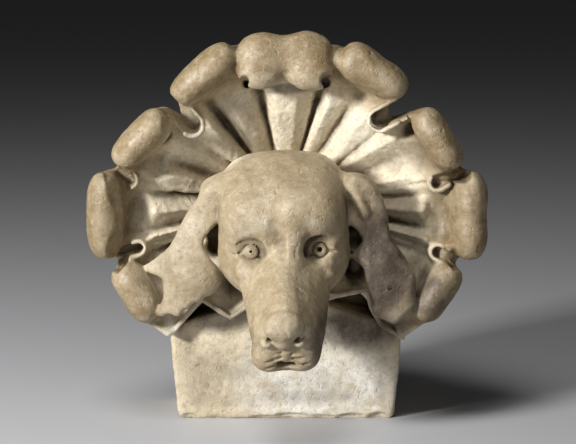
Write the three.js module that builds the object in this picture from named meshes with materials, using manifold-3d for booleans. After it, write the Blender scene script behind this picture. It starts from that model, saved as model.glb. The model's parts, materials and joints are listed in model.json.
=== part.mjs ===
// A limestone corbel: a hound's head in a ruff of nine curled leaves, above a plain block.
// Millimetres, +Z up. The front faces -Y and the flat back lies in the plane Y = 0.
// The origin is on that back, at the middle of the ruff.
// The stone is one carved piece: forms are added and cut in a field of distances to its
// surface, the surface is drawn from the field, thinned, and trimmed flat behind and below.

import * as THREE from 'three';
import { MarchingCubes } from 'three/addons/objects/MarchingCubes.js';
import { mergeVertices } from 'three/addons/utils/BufferGeometryUtils.js';
import Module from 'manifold-3d';

// Driving dimensions
const RUFF_RADIUS = 236; // middle of the ruff to the outside of its curled tips
const RUFF_DEPTH = 164; // back to the fronts of the curled tips
const DISH_RADIUS = 150; // outside of the ruff where it leaves the wall
const LEAF_ROOT_DEPTH = 50; // back to the leaves beside the neck
const LEAF_RIM_DEPTH = 120; // back to the leaves beside the curled tips
const FOLD_DEPTH = 1; // share of the pleats' full depth
const LIP_THICKNESS = 7.2; // curled leaf edge around the eye of a pleat
const BLOCK_WIDTH = 281; // at the shoulders
const BLOCK_FOOT_WIDTH = 263; // at the underside
const BLOCK_DEPTH = 104; // back to front face
const BLOCK_UNDERSIDE = 236; // middle of the ruff down to the underside
const SHOULDER_DROP = 131; // middle of the ruff down to the block's shoulders
const COLLAR_THICKNESS = 8.4; // pleated leaf edge under the neck
const COLLAR_DEPTH = 152; // back to the collar's foremost edge
const HEAD_LENGTH = 272; // nape to nose
const HEAD_STANDOFF = 135; // back to the middle of the skull
const HEAD_RISE = 15; // middle of the ruff up to the middle of the skull
const HEAD_SHIFT = -3; // the head sits a little to the left
const HEAD_TILT = 30; // degrees that the muzzle points down
const HEAD_ROLL = 2.4; // degrees that the head leans to the left
const EAR_THICKNESS = 11;
const LIMESTONE = 0xcdbd9f;

// The carving's measures below are drawn at these sizes, and grow with the ones above.
const DRAWN_RUFF_RADIUS = 236;
const DRAWN_HEAD_LENGTH = 272;
const RUFF = RUFF_RADIUS / DRAWN_RUFF_RADIUS;
const HEAD = HEAD_LENGTH / DRAWN_HEAD_LENGTH;

// How finely the surface is drawn, and how many faces stay after thinning
const GRID = 128;
const FACES = 9300;
const MARGIN = 12; // clear space around the stone in the field
const TRIM = 1; // stone taken off behind and below, to leave true flat faces
const FAR = 60; // distance that stands for empty space
const LEAST = 0.02; // no grid point lies closer to the surface than this

const MOST_FACES = 400000; // room for the surface before thinning

const limestone = new THREE.MeshStandardMaterial({ color: LIMESTONE, roughness: 0.8, metalness: 0 });

// Small helpers

const radians = THREE.MathUtils.degToRad;
const degrees = THREE.MathUtils.radToDeg;
const clamp = THREE.MathUtils.clamp;
const hypot = (a, b, c = 0) => Math.sqrt(a * a + b * b + c * c);

function smoothMin(a, b, blend) {
  const near = Math.max(blend - Math.abs(a - b), 0);
  return Math.min(a, b) - (blend > 0 ? (near * near) / (4 * blend) : 0);
}

function smoothMax(a, b, blend) {
  return -smoothMin(-a, -b, blend);
}

// Straight lines between the rows [at, value] of a table
function along(rows, at) {
  if (at <= rows[0][0]) return rows[0][1];
  for (let i = 1; i < rows.length; i += 1) {
    if (at <= rows[i][0]) {
      const [a, b] = [rows[i - 1], rows[i]];
      return a[1] + ((b[1] - a[1]) * (at - a[0])) / (b[0] - a[0]);
    }
  }
  return rows[rows.length - 1][1];
}

// A point of the ruff from its angle, clockwise from the top, and its distance out
function onRuff(angle, radius) {
  return [radius * Math.sin(radians(angle)), radius * Math.cos(radians(angle))];
}

// The field: distances to the stone's surface on a cubic grid, negative inside

const reach = Math.max(RUFF_RADIUS + MARGIN, BLOCK_UNDERSIDE + MARGIN, BLOCK_WIDTH / 2 + MARGIN);
const middleY = MARGIN - reach;

class Stone {
  constructor() {
    this.cell = (2 * reach) / GRID;
    this.values = new Float32Array(GRID ** 3).fill(FAR);
  }

  window(low, high, pad, axis) {
    const start = [-reach, middleY - reach, -reach][axis];
    const first = Math.floor((low[axis] - pad - start) / this.cell);
    const last = Math.ceil((high[axis] + pad - start) / this.cell);
    return [Math.max(first, 1), Math.min(last, GRID - 2), start];
  }

  visit({ distance, low, high }, blend, join) {
    const pad = blend + 3 * this.cell;
    const [x0, x1, startX] = this.window(low, high, pad, 0);
    const [y0, y1, startY] = this.window(low, high, pad, 1);
    const [z0, z1, startZ] = this.window(low, high, pad, 2);
    for (let k = z0; k <= z1; k += 1) {
      for (let i = x0; i <= x1; i += 1) {
        for (let j = y0; j <= y1; j += 1) {
          const at = i + GRID * (j + GRID * k);
          const x = startX + i * this.cell;
          const y = startY + j * this.cell;
          const z = startZ + k * this.cell;
          this.values[at] = join(this.values[at], distance(x, y, z), blend);
        }
      }
    }
  }

  add(form, blend = 0) {
    this.visit(form, blend, smoothMin);
  }

  cut(form, blend = 0) {
    this.visit(form, blend, (stone, tool) => smoothMax(stone, -tool, blend));
  }
}

// Keeps the work that depends on x and z alone while y changes
function perColumn(work) {
  let [lastX, lastZ, kept] = [NaN, NaN, null];
  return (x, z) => {
    if (x !== lastX || z !== lastZ) {
      [lastX, lastZ, kept] = [x, z, work(x, z)];
    }
    return kept;
  };
}

// General forms

// A round bar from a to b, its radius going from one end's to the other's
function rod(a, b, radiusA, radiusB = radiusA) {
  const [dx, dy, dz] = [b[0] - a[0], b[1] - a[1], b[2] - a[2]];
  const square = dx * dx + dy * dy + dz * dz;
  const wide = Math.max(radiusA, radiusB);
  return {
    low: a.map((value, i) => Math.min(value, b[i]) - wide),
    high: a.map((value, i) => Math.max(value, b[i]) + wide),
    distance(x, y, z) {
      const [px, py, pz] = [x - a[0], y - a[1], z - a[2]];
      const t = clamp((px * dx + py * dy + pz * dz) / square, 0, 1);
      return hypot(px - t * dx, py - t * dy, pz - t * dz) - (radiusA + (radiusB - radiusA) * t);
    },
  };
}

// The head's own frame: u to the viewer's right, v out of the crown, w out of the nose

const [sinTilt, cosTilt] = [Math.sin(radians(HEAD_TILT)), Math.cos(radians(HEAD_TILT))];
const [sinRoll, cosRoll] = [Math.sin(radians(HEAD_ROLL)), Math.cos(radians(HEAD_ROLL))];
const level = new THREE.Vector3(1, 0, 0);
const crown = new THREE.Vector3(0, -sinTilt, cosTilt);
const nose = new THREE.Vector3(0, -cosTilt, -sinTilt);
const right = level.clone().multiplyScalar(cosRoll).addScaledVector(crown, sinRoll);
const up = crown.clone().multiplyScalar(cosRoll).addScaledVector(level, -sinRoll);
const skull = new THREE.Vector3(HEAD_SHIFT, -HEAD_STANDOFF, HEAD_RISE);

// A point of the head, from measures drawn at its drawn length
function onHead(u, v, w) {
  const point = skull.clone();
  point.addScaledVector(right, u * HEAD).addScaledVector(up, v * HEAD).addScaledVector(nose, w * HEAD);
  return point.toArray();
}

function inHead(x, y, z, centre) {
  const [dx, dy, dz] = [x - centre[0], y - centre[1], z - centre[2]];
  return [right, up, nose].map((axis) => (dx * axis.x + dy * axis.y + dz * axis.z) / HEAD);
}

// An egg in the head's frame; a power over 2 makes it boxier
function egg(centre, radii, power = 2) {
  const middle = onHead(...centre);
  const least = Math.min(...radii);
  const far = Math.max(...radii) * HEAD * 1.1;
  return {
    low: middle.map((value) => value - far),
    high: middle.map((value) => value + far),
    distance(x, y, z) {
      const local = inHead(x, y, z, middle);
      const sum = local.reduce((total, value, i) => total + Math.abs(value / radii[i]) ** power, 0);
      const size = sum ** (1 / power);
      if (power > 2) return (size - 1) * least * HEAD;
      const slope = hypot(...local.map((value, i) => value / radii[i] ** 2));
      return ((size * (size - 1)) / Math.max(slope, 1e-5)) * HEAD;
    },
  };
}

function headRod(a, b, radiusA, radiusB) {
  return rod(onHead(...a), onHead(...b), radiusA * HEAD, radiusB * HEAD);
}

// The ruff of leaves

const PLEAT_MIDDLE = 20 * RUFF; // the pleats run together a little above the ruff's middle
const LAST_VALLEY = 106; // degrees from the top to the last valley between two leaves
const VALLEY_RADIUS = 184; // of the outer edge between two leaves
const LOBE_REACH = 26; // how far a leaf's edge stands out beyond the valleys
const LOW_LEAF_RADIUS = 213; // of the lowest leaves' outer edge
const LOBE_PITCH = 28.6; // degrees from one leaf's tip to the next
const SHOULDER_ANGLE = degrees(Math.atan2(BLOCK_WIDTH / 2, -SHOULDER_DROP));
const SHOULDER_RADIUS = hypot(BLOCK_WIDTH / 2, SHOULDER_DROP);

// Heights of the pleats by angle around PLEAT_MIDDLE: crests, and narrow grooves between
const PLEATS = [
  [-150, 0], [-124, 0], [-113, 9], [-109, 0], [-106.5, -15], [-104.5, -15], [-102.4, 8],
  [-100.5, 13], [-98, -2], [-90.5, 12], [-83.5, -5], [-80.5, -15], [-78.5, -15], [-76, 7],
  [-73, 13], [-67, -6], [-57, 12], [-50, 8], [-48, -16], [-46, -16], [-43.8, 9],
  [-41.5, 12], [-38.3, 3], [-36.3, -16], [-34.3, -16], [-32, 3], [-23, 13], [-15.3, 5],
  [-13.2, -17], [-11.2, -17], [-9, 6], [4.7, 13], [13.2, 5], [15.4, -17], [17.4, -17],
  [19.6, 4], [23, 12], [28, 5], [31, -5], [34, 4], [39, 14], [44.5, 8], [46, -11],
  [47.6, -11], [49.2, 8], [56, 13], [65, -4], [70, 2], [74.5, 13], [76.8, 8],
  [78.6, -14], [80.4, -14], [82.8, -2], [90, 12], [97, -8], [101, 13], [102.6, 6],
  [104.6, -15], [106.4, -15], [109, 0], [113, 9], [124, 0], [150, 0],
];
const PLEAT_SOFTNESS = 3.2; // reach along the ring over which the heights are evened out

function pleatHeight(angle, radius) {
  const soft = degrees(PLEAT_SOFTNESS / Math.max(radius, DISH_RADIUS / 2));
  return (along(PLEATS, angle - soft) + 2 * along(PLEATS, angle) + along(PLEATS, angle + soft)) / 4;
}

function leafDepth(x, z) {
  const radius = hypot(x, z - PLEAT_MIDDLE);
  const angle = degrees(Math.atan2(x, z - PLEAT_MIDDLE));
  const out = clamp((radius - 50 * RUFF) / (130 * RUFF), 0, 1.6);
  const growth = clamp((radius - 30 * RUFF) / (80 * RUFF), 0, 1.1);
  const rise = LEAF_RIM_DEPTH - LEAF_ROOT_DEPTH;
  return LEAF_ROOT_DEPTH + rise * out ** 1.15 + FOLD_DEPTH * pleatHeight(angle, radius) * growth;
}

// The ruff's outer edge, in at the valleys between leaves and straight down to the shoulders
function rimRadius(angle) {
  const side = Math.abs(angle);
  const lobe = clamp(Math.round(angle / LOBE_PITCH), -4, 4);
  const off = Math.min(Math.abs(angle / LOBE_PITCH - lobe) * 2, 1);
  if (side < LAST_VALLEY) return (VALLEY_RADIUS + LOBE_REACH * (1 - off ** 3)) * RUFF;
  const low = clamp((side - LAST_VALLEY) / (SHOULDER_ANGLE - LAST_VALLEY), 0, 1);
  const lowest = LOW_LEAF_RADIUS * RUFF;
  return lowest + (SHOULDER_RADIUS - lowest) * low;
}

function ruff() {
  const column = perColumn((x, z) => {
    const radius = hypot(x, z);
    const angle = degrees(Math.atan2(x, z));
    const below = radians(Math.abs(angle) - SHOULDER_ANGLE) * radius;
    return { radius, rim: rimRadius(angle), depth: leafDepth(x, z), below: radius > 60 ? below : -60 };
  });
  return {
    low: [-RUFF_RADIUS, -RUFF_DEPTH, -RUFF_RADIUS],
    high: [RUFF_RADIUS, TRIM, RUFF_RADIUS],
    distance(x, y, z) {
      const { radius, rim, depth, below } = column(x, z);
      const out = clamp(-y / (0.96 * LEAF_RIM_DEPTH), 0, 1) ** 0.8;
      const wall = (radius - DISH_RADIUS - (rim - DISH_RADIUS) * out) * 0.85;
      const front = (-y - depth) * 0.55;
      const leaves = smoothMax(smoothMax(front, wall, 7), below, 4);
      return smoothMax(leaves, y - TRIM, 0);
    },
  };
}

// The curled tips. Each row: angle on the ruff, inset from its outside, twist from its
// tangent, half length, radius, hollow at the middle, and growth towards the far end
const TIPS = [
  [-0.4, 0, 0.6, 56, 34, 0.16, 0],
  [-27.6, 7, 13.4, 46, 21.5, 0, 0.05],
  [28.7, 0, -2.4, 44, 23, 0.05, -0.16],
  [-57.4, 14, -12.4, 42, 21, 0, 0.06],
  [58.8, 8, 0.8, 40, 20, 0, 0],
  [-85.3, 0, 4.7, 51, 21.5, 0, 0],
  [85.4, -4, -4.6, 52, 21.5, 0.12, 0],
  [-112.5, 23, 7.5, 38, 22, 0, 0],
  [112.6, 22, -11.4, 38, 21, 0, 0],
];
const TIP_HALF_DEPTH = 28;

function tip([angle, inset, twist, half, radius, hollow, growth], inwards = 0, behind = 0) {
  const [cx, cz] = onRuff(angle, (DRAWN_RUFF_RADIUS - inset - radius - inwards) * RUFF);
  const cy = behind + TIP_HALF_DEPTH - RUFF_DEPTH;
  const [cos, sin] = [Math.cos(radians(twist - angle)), Math.sin(radians(twist - angle))];
  const wide = half * RUFF + 4;
  return {
    low: [cx - wide, cy - TIP_HALF_DEPTH - 8, cz - wide],
    high: [cx + wide, cy + TIP_HALF_DEPTH + 8, cz + wide],
    distance(x, y, z) {
      const t = ((x - cx) * cos + (z - cz) * sin) / (half * RUFF);
      const across = (z - cz) * cos - (x - cx) * sin;
      const waist = hollow * Math.exp(-((t / 0.3) ** 2));
      const round = 1 - waist + growth * clamp(t, -1, 1);
      const section = hypot(across / (radius * RUFF), (y - cy) / TIP_HALF_DEPTH) / round;
      return ((Math.abs(t) ** 3 + section ** 3) ** (1 / 3) - 1) * radius * RUFF * 0.9;
    },
  };
}

// The eyes of the pleats, where a leaf's edge turns over into the next leaf's.
// Each row: angle, distance out, inner radius, turn of the opening, length of its sides,
// and the depth from the back to its floor
const EYES = [
  [-41.6, 166.5, 10, -0.6, 24, 98], [40.3, 171, 10, -18.7, 26, 100],
  [-72.3, 193.7, 6, -18.3, 10, 114], [72.5, 187.5, 6.5, 16.5, 10, 113],
  [-97.2, 177.2, 5.5, 4.8, 18, 110], [98.4, 182.4, 6, -15.6, 14, 110],
];
// The deep holes beside the top tip and below the right ear: angle, distance out, radius
const HOLES = [[-15.3, 185.6, 7], [15.2, 186.6, 8], [125, 171, 8]];
const LIP_DEPTH = 129; // back to the middle of a lip

function eyeFrame([angle, out, radius, turn, leg, floor]) {
  const [cx, cz] = onRuff(angle, out * RUFF);
  const heading = radians(90 - angle + turn);
  const [cos, sin] = [Math.cos(heading), Math.sin(heading)];
  return { cx, cz, cos, sin, radius: radius * RUFF, leg: leg * RUFF, floor };
}

function lip(eye) {
  const { cx, cz, cos, sin, radius, leg } = eyeFrame(eye);
  const half = LIP_THICKNESS / 2;
  const wide = radius + leg + LIP_THICKNESS;
  return {
    low: [cx - wide, -LIP_DEPTH - 22, cz - wide],
    high: [cx + wide, 22 - LIP_DEPTH, cz + wide],
    distance(x, y, z) {
      const t = (x - cx) * cos + (z - cz) * sin;
      const across = (z - cz) * cos - (x - cx) * sin;
      const plane = hypot(Math.min(t, 0), across) - radius - 0.8 * half;
      const forward = Math.abs(-y - LIP_DEPTH - 0.25 * clamp(t, -radius, leg));
      return hypot(plane, Math.max(forward - 5, 0), Math.max(t - leg, 0)) - half;
    },
  };
}

function channel(eye) {
  const { cx, cz, cos, sin, radius, leg, floor } = eyeFrame(eye);
  const wide = radius + leg + 16;
  return {
    low: [cx - wide, -RUFF_DEPTH - 26, cz - wide],
    high: [cx + wide, 5 - floor, cz + wide],
    distance(x, y, z) {
      const t = (x - cx) * cos + (z - cz) * sin;
      const across = (z - cz) * cos - (x - cx) * sin;
      const flare = clamp(0.8 + (-y - floor) / 60, 0.6, 1.1);
      const side = hypot(Math.max(-t, t - leg - 14, 0), across) - radius * flare;
      return smoothMax(side, floor + y, 3);
    },
  };
}

// The raised pipe of stone that runs from the neck out to an eye
function pipe(eye) {
  const { cx, cz, radius, floor } = eyeFrame(eye);
  const root = 0.4;
  const short = 1 - (3 * RUFF) / hypot(cx, cz);
  const start = [cx * root, -66, PLEAT_MIDDLE + (cz - PLEAT_MIDDLE) * root];
  return rod(start, [cx * short, -floor, cz * short], 4, radius + 6);
}

function hole([angle, out, radius]) {
  const [x, z] = onRuff(angle, out * RUFF);
  const [innerX, innerZ] = onRuff(angle, (out - 10) * RUFF);
  return rod([x, -RUFF_DEPTH - 6, z], [innerX, -92, innerZ], radius * 1.1, radius * 0.6);
}

// The block below, and the stone that joins it to the ruff behind the neck

function block() {
  const taper = (BLOCK_WIDTH - BLOCK_FOOT_WIDTH) / 2 / (BLOCK_UNDERSIDE - SHOULDER_DROP);
  return {
    low: [-BLOCK_WIDTH / 2, -BLOCK_DEPTH, -BLOCK_UNDERSIDE],
    high: [BLOCK_WIDTH / 2, TRIM, -60],
    distance(x, y, z) {
      const half = BLOCK_FOOT_WIDTH / 2 + taper * (z + BLOCK_UNDERSIDE);
      const side = smoothMax(Math.abs(x) - half, -BLOCK_UNDERSIDE - TRIM - z, 10);
      const top = z + SHOULDER_DROP - 47 + 0.26 * Math.abs(x);
      const outline = smoothMax(side, top, 4);
      return smoothMax(smoothMax(outline, -y - BLOCK_DEPTH, 7), y - TRIM, 0);
    },
  };
}

function apron() {
  const half = 0.84 * (BLOCK_WIDTH / 2);
  const bottom = SHOULDER_DROP + 20;
  return {
    low: [-half, -LEAF_ROOT_DEPTH, -bottom],
    high: [half, TRIM, 10],
    distance(x, y, z) {
      const outline = Math.max(Math.abs(x) - half, z - 10, -bottom - z);
      return smoothMax(outline, Math.max(-y - LEAF_ROOT_DEPTH + 6, y - TRIM), 3);
    },
  };
}

// The collar: the front edge of the lowest leaves, pleated, seen under the head.
// Points as shares of the shoulders' half width and of their drop
const COLLAR_LEFT = [[-0.99, -0.98], [-0.72, -0.63], [-0.47, -0.79], [-0.31, -0.67], [-0.14, -0.76]];
const COLLAR_RIGHT = [[0.21, -0.64], [0.39, -0.6], [0.69, -0.54], [0.72, -0.7], [0.8, -0.87], [0.996, -1.01]];

function segmentDistance(x, z, [ax, az], [bx, bz]) {
  const [ex, ez] = [bx - ax, bz - az];
  const t = clamp(((x - ax) * ex + (z - az) * ez) / (ex * ex + ez * ez), 0, 1);
  return hypot(x - ax - t * ex, z - az - t * ez);
}

function collarPoints(shares) {
  return shares.map(([across, down]) => [(across * BLOCK_WIDTH) / 2, down * SHOULDER_DROP]);
}

// How far the collar's edge steps back from its foremost, towards the shoulders
function collarBack(x) {
  return 26 * clamp((2 * Math.abs(x)) / BLOCK_WIDTH, 0, 1) ** 2;
}

function collar(shares) {
  const points = collarPoints(shares);
  const column = perColumn((x, z) => {
    let nearest = FAR;
    for (let i = 1; i < points.length; i += 1) {
      nearest = Math.min(nearest, segmentDistance(x, z, points[i - 1], points[i]));
    }
    return nearest - COLLAR_THICKNESS / 2;
  });
  const xs = points.map((point) => point[0]);
  const zs = points.map((point) => point[1]);
  const pad = COLLAR_THICKNESS;
  return {
    low: [Math.min(...xs) - pad, -COLLAR_DEPTH, Math.min(...zs) - pad],
    high: [Math.max(...xs) + pad, -20, Math.max(...zs) + pad],
    distance(x, y, z) {
      const front = -y - COLLAR_DEPTH + collarBack(x);
      return smoothMax(smoothMax(column(x, z), front, 2), y + 20, 2);
    },
  };
}

const SHELF_REACH = 90; // how far up behind the collar the lowest leaves run
const SHELF_SET_BACK = 8; // from the collar's front edge back to the leaf
const SHELF_SLOPE = 1.1; // how fast the leaf falls back behind its edge

// The leaves behind the collar, sloping up and back from its edge to the ruff
function shelf(shares) {
  const points = collarPoints(shares);
  const xs = points.map((point) => point[0]);
  const zs = points.map((point) => point[1]);
  return {
    low: [Math.min(...xs), -COLLAR_DEPTH, Math.min(...zs)],
    high: [Math.max(...xs), -20, Math.max(...zs) + SHELF_REACH],
    distance(x, y, z) {
      const over = z - along(points, x);
      const front = (-y - COLLAR_DEPTH + collarBack(x) + SHELF_SET_BACK + SHELF_SLOPE * over) * 0.65;
      const ends = Math.max(points[0][0] - x, x - points[points.length - 1][0]);
      return smoothMax(smoothMax(front, -over * 0.75, 2), Math.max(ends, over - SHELF_REACH), 4);
    },
  };
}

// The muzzle: sections from the skull to the nose. Rows: place along w, and the value there
const MUZZLE_WIDTH = [[30, 60], [60, 59], [90, 54], [120, 49.5], [150, 46], [180, 43.5], [200, 42]];
const MUZZLE_TOP = [[30, 16], [60, 14], [90, 12], [120, 10], [150, 9], [180, 6], [200, 2]];
const MUZZLE_FOOT = [[30, -55], [60, -60], [90, -66], [120, -71], [150, -76], [180, -78], [200, -77]];
const NOSE_END = 192;

function muzzle() {
  const centre = skull.toArray();
  const a = onHead(0, 0, 30);
  const b = onHead(0, -70, NOSE_END);
  const pad = 70 * HEAD;
  return {
    low: a.map((value, i) => Math.min(value, b[i]) - pad),
    high: a.map((value, i) => Math.max(value, b[i]) + pad),
    distance(x, y, z) {
      const [u, v, w] = inHead(x, y, z, centre);
      const [top, foot] = [along(MUZZLE_TOP, w), along(MUZZLE_FOOT, w)];
      const [middle, half] = [(top + foot) / 2, (top - foot) / 2];
      const k = clamp((v - middle) / half, -1.2, 1.2);
      const narrow = k > 0 ? 0.16 * k + 0.16 * k * k : 0.22 * k * k;
      const wide = along(MUZZLE_WIDTH, w) * (1 - narrow);
      const ring = (Math.abs(u / wide) ** 2.6 + Math.abs((v - middle) / half) ** 2.6) ** (1 / 2.6);
      const body = (ring - 1) * Math.min(wide, half) * 0.9;
      const end = w - NOSE_END + 0.1 * (v + 30);
      return smoothMax(smoothMax(body, end, 26), 40 - w, 10) * HEAD;
    },
  };
}

// The ears: hanging sheets. Outlines in the front plane, measured from the skull's middle,
// and the line down each sheet's middle that bows towards the viewer
const LEFT_EAR = {
  outline: [
    [-80, 35], [-94, 30], [-109, 12], [-126, -14], [-134, -38], [-141, -66], [-140, -91],
    [-150, -107], [-143, -113], [-122, -111], [-108, -101], [-98, -91], [-79, -81],
    [-72, -64], [-87, -46], [-93, -34], [-89, -21], [-75, -6], [-60, 17],
  ],
  topX: -82,
  footX: -119,
};
const RIGHT_EAR = {
  outline: [
    [75, 50], [97, 48], [115, 28], [123, 3], [125, -19], [144, -51], [153, -68],
    [150, -100], [132, -113], [111, -112], [105, -92], [99, -69], [90, -70],
    [79, -61], [87, -34], [91, -24], [83, -9], [65, 5],
  ],
  topX: 91,
  footX: 131,
};
const EAR_TOP = 30; // height of the ear's root above the skull's middle
const EAR_DROP = 150; // root to tip

function insideOutline(points, x, z) {
  let inside = false;
  points.forEach((a, i) => {
    const b = points[(i + 1) % points.length];
    const crosses = a[1] <= z !== b[1] <= z;
    if (crosses && x < ((b[0] - a[0]) * (z - a[1])) / (b[1] - a[1]) + a[0]) inside = !inside;
  });
  return inside;
}

function ear({ outline, topX, footX }) {
  const corners = outline.map(([x, z]) => new THREE.Vector3(skull.x + x * HEAD, 0, skull.z + z * HEAD));
  const curve = new THREE.CatmullRomCurve3(corners, true, 'catmullrom', 0.5);
  const points = curve.getPoints(5 * corners.length).slice(0, -1).map((point) => [point.x, point.z]);
  const column = perColumn((x, z) => {
    let nearest = FAR;
    points.forEach((a, i) => {
      nearest = Math.min(nearest, segmentDistance(x, z, a, points[(i + 1) % points.length]));
    });
    const down = (skull.z + EAR_TOP * HEAD - z) / (EAR_DROP * HEAD);
    const middle = skull.x + (topX + (footX - topX) * down) * HEAD;
    const off = Math.min(Math.abs(x - middle) / (40 * HEAD), 1.6);
    const bow = 23 + 20 * Math.sin(clamp(down, 0, 1.1) * 2.4) - 14 * down - 15 * off ** 2;
    return { side: insideOutline(points, x, z) ? -nearest : nearest, depth: HEAD_STANDOFF + bow * HEAD };
  });
  const xs = points.map((point) => point[0]);
  const zs = points.map((point) => point[1]);
  return {
    low: [Math.min(...xs), -HEAD_STANDOFF - 65 * HEAD, Math.min(...zs)],
    high: [Math.max(...xs), 35 * HEAD - HEAD_STANDOFF, Math.max(...zs)],
    distance(x, y, z) {
      const { side, depth } = column(x, z);
      return smoothMax(side, (Math.abs(-y - depth) - EAR_THICKNESS / 2) * 0.85, 7);
    },
  };
}

// The wall that the back lies against
function wall() {
  return {
    low: [-reach, 0, -reach],
    high: [reach, reach, reach],
    distance: (x, y) => TRIM - y,
  };
}

// The head's smaller forms, drawn on one side and repeated on the other
function features(stone, side) {
  stone.cut(egg([side * 41, 13, 84], [20, 17, 17]), 8);
  stone.add(egg([side * 39.5, 3, 61], [12.5, 12.5, 12.5]), 1);
  stone.add(headRod([side * 35, 25, 62], [side * 52, 20, 52], 8, 7), 8);
  stone.add(headRod([side * 36, -11, 66], [side * 48, -11, 60], 8, 7), 8);
}

function lips(stone, side) {
  stone.cut(headRod([side * 12, -17, NOSE_END + 14], [side * 14, -14, NOSE_END - 4], 4, 3), 1.5);
  stone.add(egg([side * 20, -58, NOSE_END - 14], [21, 19, 17]), 8);
}

function carve() {
  const stone = new Stone();
  stone.add(ruff());
  stone.add(apron(), 2);
  stone.add(block(), 3);
  TIPS.forEach((row) => {
    stone.add(tip(row, 9, 26), 12);
    stone.add(tip(row), 4);
  });
  [COLLAR_LEFT, COLLAR_RIGHT].forEach((edge) => {
    stone.add(shelf(edge), 4);
    stone.add(collar(edge), 1.5);
  });
  EYES.forEach((eye) => {
    stone.add(pipe(eye), 10);
    stone.add(lip(eye), 4);
    stone.cut(channel(eye), 1.5);
  });
  HOLES.forEach((row) => stone.cut(hole(row), 3));
  stone.add(rod([0, -40, 0], onHead(0, 0, 0), 52, 50), 8);
  stone.add(egg([0, 0, 0], [75, 75, 80]), 6);
  stone.add(egg([0, 6, 6], [74, 64, 70], 3), 8);
  stone.add(egg([-37, -26, 40], [35, 44, 42]), 20);
  stone.add(egg([37, -26, 40], [35, 44, 42]), 20);
  stone.add(muzzle(), 14);
  stone.add(headRod([0, -4, 60], [0, -8, NOSE_END - 20], 17, 14), 12);
  stone.add(egg([0, -13, NOSE_END - 8], [23, 18, 14]), 4);
  features(stone, -1);
  features(stone, 1);
  stone.cut(headRod([0, -72, NOSE_END + 13], [0, -74, NOSE_END - 14], 8, 6), 5);
  stone.cut(headRod([0, -40, NOSE_END + 10], [0, -62, NOSE_END + 6], 2.5, 3), 4);
  lips(stone, -1);
  lips(stone, 1);
  stone.add(ear(LEFT_EAR), 3);
  stone.add(ear(RIGHT_EAR), 3);
  stone.cut(wall());
  return stone;
}

// From the field to a closed mesh

// Every corner of the drawn surface lies on one edge of the grid, which names it.
function weld(cubes) {
  const half = GRID / 2;
  const names = new Map();
  const positions = [];
  const faces = [];
  for (let c = 0; c < cubes.count; c += 1) {
    const grid = [0, 1, 2].map((i) => cubes.positionArray[3 * c + i] * half + half);
    const whole = grid.map((value) => Math.round(value));
    const axis = grid.findIndex((value, i) => Math.abs(value - whole[i]) > 1e-4);
    if (axis >= 0) whole[axis] = Math.floor(grid[axis]);
    const name = (axis + 1) * GRID ** 3 + whole[0] + GRID * (whole[1] + GRID * whole[2]);
    if (!names.has(name)) {
      names.set(name, positions.length / 3);
      const start = [-reach, middleY - reach, -reach];
      grid.forEach((value, i) => positions.push(start[i] + (value * 2 * reach) / GRID));
    }
    faces.push(names.get(name));
  }
  return { positions, faces };
}

// Bubbles left inside the stone are filled: only the shell with the most faces is kept.
function outerShell({ positions, faces }) {
  const parent = Int32Array.from({ length: positions.length / 3 }, (value, i) => i);
  const root = (v) => {
    let at = v;
    while (parent[at] !== at) {
      parent[at] = parent[parent[at]];
      at = parent[at];
    }
    return at;
  };
  for (let t = 0; t < faces.length; t += 3) {
    parent[root(faces[t + 1])] = root(faces[t]);
    parent[root(faces[t + 2])] = root(faces[t]);
  }
  const sizes = new Map();
  for (let t = 0; t < faces.length; t += 3) {
    const shell = root(faces[t]);
    sizes.set(shell, (sizes.get(shell) || 0) + 1);
  }
  const [largest] = [...sizes].reduce((a, b) => (b[1] > a[1] ? b : a));
  return { positions, faces: faces.filter((v) => root(v) === largest) };
}

function surface(stone) {
  const cubes = new MarchingCubes(GRID, limestone, false, false, MOST_FACES);
  cubes.isolation = 0;
  stone.values.forEach((value, i) => {
    const away = Math.abs(value) < LEAST ? Math.sign(value || 1) * LEAST : value;
    cubes.field[i] = -away;
  });
  cubes.update();
  return outerShell(weld(cubes));
}

// A heap of edges, the cheapest to lose on top
class Heap {
  constructor() {
    this.items = [];
  }

  push(item) {
    const { items } = this;
    let at = items.length;
    items.push(item);
    while (at > 0) {
      const parent = (at - 1) >> 1;
      if (items[parent].cost <= item.cost) break;
      items[at] = items[parent];
      at = parent;
    }
    items[at] = item;
  }

  pop() {
    const { items } = this;
    const top = items[0];
    const last = items.pop();
    const { length } = items;
    if (length === 0) return top;
    let at = 0;
    for (;;) {
      let child = 2 * at + 1;
      if (child >= length) break;
      if (child + 1 < length && items[child + 1].cost < items[child].cost) child += 1;
      if (items[child].cost >= last.cost) break;
      items[at] = items[child];
      at = child;
    }
    items[at] = last;
    return top;
  }
}

// The sum of squared distances to planes, as the ten terms of its quadratic form
function planeTerms(nx, ny, nz, offset, weight) {
  return [
    nx * nx, nx * ny, nx * nz, nx * offset, ny * ny,
    ny * nz, ny * offset, nz * nz, nz * offset, offset * offset,
  ].map((value) => value * weight);
}

function spread(q, x, y, z) {
  const first = q[0] * x * x + 2 * q[1] * x * y + 2 * q[2] * x * z + 2 * q[3] * x;
  const second = q[4] * y * y + 2 * q[5] * y * z + 2 * q[6] * y;
  return first + second + q[7] * z * z + 2 * q[8] * z + q[9];
}

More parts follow.
